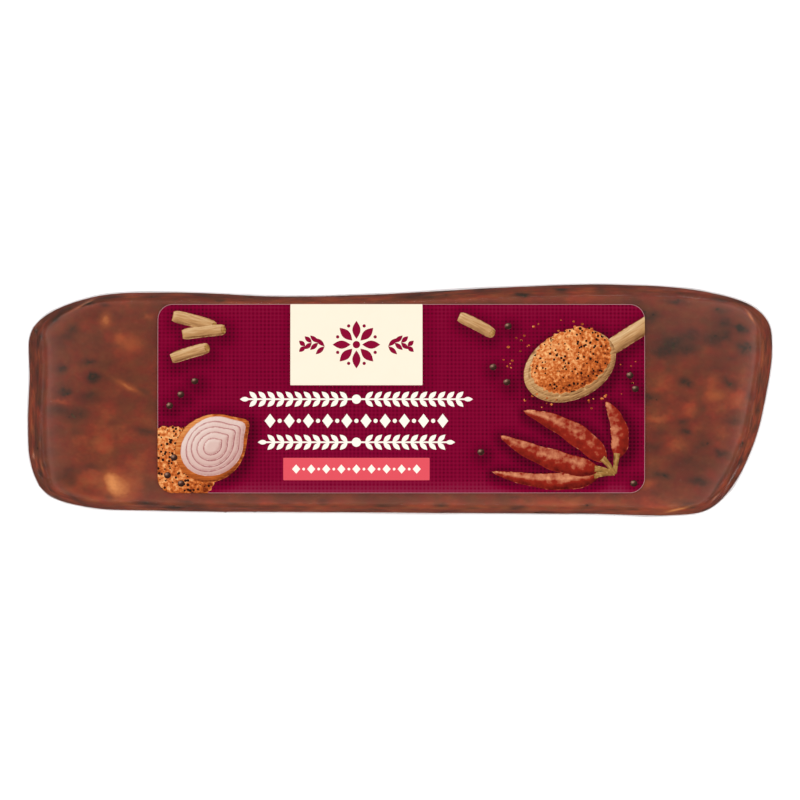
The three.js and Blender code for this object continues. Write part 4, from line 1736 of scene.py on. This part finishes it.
@dataclass
class Label:
    """The paper label on the crowned face: one closed mesh, cut into its printed areas.

    The pitches, edge rings, shadow and sheen are in millimetres, like the print.
    """

    form: PackForm
    gap: float = 0.2 * MM
    thickness: float = 0.3 * MM
    pitch: float = 0.9
    fine_pitch: float = 0.45
    edge_rings: tuple[float, ...] = (0.3, 0.7)
    light: tuple[float, float, float] = (-0.5, 0.65, 0.8)
    shadow_reach: float = 3.2
    shadow_shift: tuple[float, float] = (0.9, -1.2)
    low_sheen_reach: float = 5.5
    low_sheen: float = 0.34
    high_sheen: float = 0.04
    shadow_depth: float = 0.4
    solid_from: float = 1.0
    darkest: float = 0.1
    lit: float = 0.62
    glint_sharpness: float = 45

    def build(self) -> bpy.types.Object:
        """Cuts the printed areas, shades them, closes the paper and dresses it.

        Returns:
            The label as one closed mesh.
        """
        low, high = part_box(LABEL_NODE)
        middle = np.array([(low.x + high.x) / 2, (low.y + high.y) / 2])
        size = np.array([high.x - low.x, high.y - low.y]) / MM
        shapes = LabelPrint(*size).shapes()
        flat, triangles, areas = self.cut(shapes, size)
        sheet = middle + flat * MM
        top = np.column_stack([sheet, self.form.upper_height(sheet) + self.gap + self.thickness])
        under = top - (0, 0, self.thickness)
        rim = self.rim_edges(triangles)
        count = len(flat)
        faces = triangles.tolist() + (triangles[:, ::-1] + count).tolist()
        faces += [(b, a, a + count, b + count) for a, b in rim]
        piece = new_piece(LABEL_NODE + "_print", np.vstack([top, under]), faces)
        inks = list(dict.fromkeys(shape.ink for shape in shapes))
        for ink in inks:
            piece.data.materials.append(ink.material())
        numbers = [inks.index(shapes[area].ink) for area in areas]
        paper = inks.index(PAPER)
        piece.data.polygons.foreach_set("material_index", numbers + [paper] * (len(triangles) + len(rim)))
        piece.data.polygons.foreach_set("use_smooth", [True] * (2 * len(triangles)) + [False] * len(rim))
        printed = 3 * len(triangles)
        tones = np.full(len(piece.data.loops), 0.5)
        tones[:printed] = self.tones(shapes, flat, triangles, areas)
        store(piece.data, "tone", tones, "CORNER")
        along_fibre = np.zeros((len(tones), 3))
        for number in np.unique(areas):
            corners = np.repeat(areas == number, 3)
            places = flat[triangles[areas == number].ravel()]
            along_fibre[:printed][corners, :2] = turned(places, -shapes[number].fibre) * MM
        store_places(piece.data, "along_fibre", along_fibre, "CORNER")
        return piece

    def cut(self, shapes: list[PrintShape], size: np.ndarray) -> tuple[np.ndarray, np.ndarray, np.ndarray]:
        """Splits the label into triangles along the edges of all its shapes.

        Args:
            shapes: The printed shapes, the topmost last.
            size: The label's length and width in millimetres.

        Returns:
            The points in millimetres, the triangles, and the number of the topmost shape on each.
        """
        coarse, fine = self.lattice(size, self.pitch), self.lattice(size, self.fine_pitch)
        in_solid = [np.zeros(len(lattice), bool) for lattice in (coarse, fine)]
        for shape in shapes:
            if shape.round_over > self.solid_from:
                for lattice, found in zip((coarse, fine), in_solid):
                    found |= inside(shape.outline, lattice)
        guides = np.vstack([coarse[~in_solid[0]], fine[in_solid[1]]])
        for shape in shapes:
            if shape.round_over > self.solid_from:
                guides = self.ringed(shape, guides)
        corners = [Vector(p) for p in guides[inside(shapes[1].outline, guides)]]
        rings = []
        for shape in shapes:
            outline = dense(shape.outline, 2 * self.pitch)
            rings.append(list(range(len(corners), len(corners) + len(outline))))
            corners += [Vector(p) for p in outline]
        placed, _, triangles, _, _, sources = delaunay_2d_cdt(corners, [], rings, 1, 1e-5)
        kept = [(t, max(s)) for t, s in zip(triangles, sources) if 0 in s]
        flat = np.array([tuple(p) for p in placed])
        corners_kept = np.array([t for t, _ in kept])
        used, renumbered = np.unique(corners_kept, return_inverse=True)
        return flat[used], renumbered.reshape(-1, 3), np.array([area for _, area in kept])

    def ringed(self, shape: PrintShape, guides: np.ndarray) -> np.ndarray:
        """Replaces the guide points near a shape's edge by rings inside it, so that its shading is even.

        Args:
            shape: The shape.
            guides: The places that the label's triangles are drawn through.

        Returns:
            The new guide points.
        """
        low, high = shape.outline.min(axis=0) - 1, shape.outline.max(axis=0) + 1
        near = ((guides > low) & (guides < high)).all(axis=1)
        away, _ = nearest_edge(shape.outline, guides[near])
        near[near] = away < self.edge_rings[-1] + self.fine_pitch / 2
        edge = dense(shape.outline, self.fine_pitch)
        rings = [guides[~near]]
        for inset in self.edge_rings:
            ring = edge - outward(edge) * inset
            gap, _ = nearest_edge(shape.outline, ring)
            rings.append(ring[inside(shape.outline, ring) & (gap > inset * 0.9)])
        return np.vstack(rings)

    @staticmethod
    def lattice(size: np.ndarray, pitch: float) -> np.ndarray:
        """Places in rows and columns over the label, about its middle, in millimetres.

        Args:
            size: The label's length and width.
            pitch: About how far the places are apart.

        Returns:
            The places.
        """
        counts = (size / pitch).astype(int)
        columns, rows = np.meshgrid(np.arange(1, counts[0]), np.arange(1, counts[1]), indexing="ij")
        return np.column_stack([columns.ravel(), rows.ravel()]) * size / counts - size / 2

    @staticmethod
    def rim_edges(triangles: np.ndarray) -> list[tuple[int, int]]:
        """The edges that only one triangle has, each in that triangle's direction."""
        edges = {(int(t[k]), int(t[(k + 1) % 3])) for t in triangles for k in range(3)}
        return [(a, b) for a, b in sorted(edges) if (b, a) not in edges]

    def tones(self, shapes: list[PrintShape], flat: np.ndarray, triangles: np.ndarray,
              areas: np.ndarray) -> np.ndarray:
        """The tone of the print at each corner of each triangle: 0 dark, 0.5 middling, 1 light.

        Args:
            shapes: The printed shapes.
            flat: The label's points in millimetres.
            triangles: Its triangles.
            areas: The number of the topmost shape on each.

        Returns:
            The tones, three for each triangle.
        """
        tones = np.full((len(triangles), 3), 0.5)
        for number, shape in enumerate(shapes):
            mine = areas == number
            if not mine.any():
                continue
            places = flat[triangles[mine].ravel()]
            if shape.ink is BURGUNDY:
                tone = self.ground_tone(shapes, places)
            elif shape.round_over > 0:
                tone = self.solid_tone(shape, places)
            else:
                continue
            tones[mine] = tone.reshape(-1, 3)
        return tones.ravel()

    def solid_tone(self, shape: PrintShape, places: np.ndarray) -> np.ndarray:
        """Shading that makes a shape look round, lit from the upper left.

        Args:
            shape: The shape.
            places: Places in it.

        Returns:
            A tone for each place.
        """
        away, direction = nearest_edge(shape.outline, places, 0.2 * shape.round_over)
        lean = direction * np.clip(1 - away / shape.round_over, 0, 1)[:, None]
        normal = np.column_stack([lean, np.sqrt(1 - (lean**2).sum(axis=1))])
        light = np.array(self.light) / np.linalg.norm(self.light)
        half = light + (0, 0, 1)
        glint = np.clip(normal @ (half / np.linalg.norm(half)), 0, 1) ** self.glint_sharpness
        return self.darkest + self.lit * np.clip(normal @ light, 0, 1) + shape.ink.gloss * glint

    def ground_tone(self, shapes: list[PrintShape], places: np.ndarray) -> np.ndarray:
        """The ground's tone: soft shadows under the spices, and a paler sheen along the lower edge.

        Args:
            shapes: All printed shapes.
            places: Places on the ground.

        Returns:
            A tone for each place.
        """
        shade = np.zeros(len(places))
        for shape in shapes:
            if shape.shadow > 0:
                outline = shape.outline + self.shadow_shift
                near = (np.abs(places - outline.mean(axis=0)) < np.ptp(outline, axis=0) / 2
                        + self.shadow_reach * 1.5).all(axis=1)
                away, _ = nearest_edge(outline, places[near])
                away = np.where(inside(outline, places[near]), 0, away)
                fall = np.exp(-((away / self.shadow_reach) ** 2)) * shape.shadow
                shade[near] = np.maximum(shade[near], fall)
        half = np.abs(shapes[0].outline[:, 1]).max()
        low = np.clip(1 - (places[:, 1] + half) / self.low_sheen_reach, 0, 1)
        high = np.clip(1 - (half - places[:, 1]) / (2 * self.low_sheen_reach), 0, 1)
        return 0.5 - self.shadow_depth * shade + self.low_sheen * low**1.3 + self.high_sheen * high


@dataclass
class Stage:
    """The camera, floor and soft studio light."""

    view_width: float = 296 * MM
    focal_length: float = 180.0
    sensor: float = 36.0
    level: float = 16.5 * MM
    floor_size: float = 6.0
    dome: float = 0.87
    mirrored_heights: tuple[float, ...] = (0.4, 0.5, 0.62, 0.85, 0.95)
    mirrored_levels: tuple[float, ...] = (0.05, 0.16, 0.3, 0.16, 0.02)
    strip_heights: tuple[float, ...] = (0.508, 0.54, 0.572, 0.604)
    strip_level: float = 5.5
    strip_at_ends: float = 0.1
    lamp_size: float = 0.9
    lamp_energy: float = 4.0

    def build(self) -> None:
        """Sets up everything that isn't part of the pack."""
        self.camera()
        self.floor()
        self.world()
        self.lamps()
        bpy.context.scene.view_settings.view_transform = "Standard"

    def camera(self) -> None:
        """Looks straight down at the label, with +Y up in the picture."""
        data = bpy.data.cameras.new("camera")
        data.lens = self.focal_length
        data.sensor_width = self.sensor
        data.clip_end = 20
        camera = bpy.data.objects.new("camera", data)
        camera.location = (0, 0, self.level + self.view_width * self.focal_length / self.sensor)
        bpy.context.scene.collection.objects.link(camera)
        bpy.context.scene.camera = camera

    def floor(self) -> None:
        """A white floor that mirrors don't show, as in a tent of white cloth."""
        half = self.floor_size / 2
        corners = np.array([(-half, -half, 0), (half, -half, 0), (half, half, 0), (-half, half, 0)])
        floor = new_piece("floor", corners - (0, 0, 0.1 * MM), [(0, 1, 2, 3)])
        material, sheet, output = new_material("white_floor")
        shader = sheet.add("ShaderNodeBsdfPrincipled", {
            "Base Color": (0.92, 0.92, 0.92, 1), "Roughness": 0.9, "Specular IOR Level": 0.0,
            "Emission Color": (1, 1, 1, 1), "Emission Strength": 0.5})
        sheet.tree.links.new(shader.outputs[0], output.inputs["Surface"])
        floor.data.materials.append(material)
        floor.visible_glossy = False

    def world(self) -> None:
        """Light from all round, dim straight above so that the upper face mirrors little.

        The film also mirrors two long strips of light, low in front of the pack and behind it.
        """
        world = bpy.data.worlds.new("tent")
        world.use_nodes = True
        bpy.context.scene.world = world
        sheet = NodeSheet(world.node_tree)
        way = sheet.add("ShaderNodeSeparateXYZ", {
            0: sheet.add("ShaderNodeTexCoord").outputs["Generated"]}).outputs
        height = sheet.math("ADD", sheet.math("MULTIPLY", way[2], 0.5), 0.5)
        grey = [(level, level, level, 1.0) for level in self.mirrored_levels]
        mirrored = sheet.ramp(height, tuple(zip(self.mirrored_heights, grey)))
        level_part = sheet.math("SUBTRACT", 1.0, sheet.math("MULTIPLY", way[2], way[2]))
        crosswise = sheet.math("DIVIDE", sheet.math("MULTIPLY", way[1], way[1]), level_part)
        crosswise = sheet.math("MULTIPLY", crosswise, crosswise)
        strength = sheet.math("ADD", sheet.math("MULTIPLY", crosswise, 1 - self.strip_at_ends),
                              self.strip_at_ends)
        black, white = (0.0, 0.0, 0.0, 1.0), (1.0, 1.0, 1.0, 1.0)
        strip = sheet.ramp(height, tuple(zip(self.strip_heights, (black, white, white, black))))
        strip = sheet.math("MULTIPLY", sheet.math("MULTIPLY", strip, strength), self.strip_level)
        mirrored = sheet.add("ShaderNodeVectorMath", {0: mirrored, 1: strip}, operation="ADD").outputs[0]
        ray = sheet.add("ShaderNodeLightPath").outputs
        cloth = (self.dome, self.dome, self.dome, 1)
        light = sheet.blend(ray["Is Camera Ray"], cloth, (1, 1, 1, 1))
        colour = sheet.blend(ray["Is Glossy Ray"], light, mirrored)
        back = sheet.add("ShaderNodeBackground", {"Color": colour, "Strength": 1.0})
        output = sheet.add("ShaderNodeOutputWorld")
        sheet.tree.links.new(back.outputs[0], output.inputs["Surface"])

    def lamps(self) -> None:
        """Two broad soft lamps at the ends of the pack."""
        for name, place in (("left_lamp", (-1.1, 0.15, 1.3)), ("right_lamp", (1.1, -0.1, 1.3))):
            data = bpy.data.lights.new(name, "AREA")
            data.shape = "RECTANGLE"
            data.size = self.lamp_size
            data.size_y = self.lamp_size
            data.energy = self.lamp_energy
            lamp = bpy.data.objects.new(name, data)
            lamp.visible_glossy = False
            lamp.location = place
            lamp.rotation_euler = (-Vector(place)).to_track_quat("-Z", "Y").to_euler()
            bpy.context.scene.collection.objects.link(lamp)


PEPPER = Rub("pepper_flakes", RubFinish("pepper", tint(48, 40, 34), tint(76, 55, 43)),
             per_square_metre=90000, shortest=0.5 * MM, longest=1.2 * MM,
             width_share=0.8, thickness_share=0.4, seed=3)
HERB = Rub("herb_flakes", RubFinish("herb", tint(60, 50, 37), tint(88, 63, 45)),
           per_square_metre=50000, shortest=0.9 * MM, longest=2.4 * MM,
           width_share=0.5, thickness_share=0.16, seed=11)


def register(piece: bpy.types.Object, slot: str, *nodes: str) -> None:
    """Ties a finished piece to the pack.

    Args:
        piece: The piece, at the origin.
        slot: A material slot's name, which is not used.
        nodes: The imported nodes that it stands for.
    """
    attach(piece, BODY)
    if nodes:
        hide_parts(*nodes)
    corners = np.array([tuple(corner) for corner in piece.bound_box]) / MM
    triangles = sum(len(polygon.vertices) - 2 for polygon in piece.data.polygons)
    log.info("%s: %d triangles, from %s to %s mm", piece.name, triangles,
             corners.min(axis=0).round(1), corners.max(axis=0).round(1))


def main() -> None:
    """Builds the stage and every piece of the pack, in order."""
    logging.basicConfig(level=logging.INFO, format="%(name)s: %(message)s")
    Stage().build()
    form = PackForm()
    meat = PorkLoin(form).build()
    register(Film(form).build(), "film", LOIN_NODE)
    register(meat, "pork")
    for rub in (PEPPER, HERB):
        register(rub.build(meat), "rub")
    register(Label(form).build(), "label", LABEL_NODE)


if __name__ == "__main__":
    main()
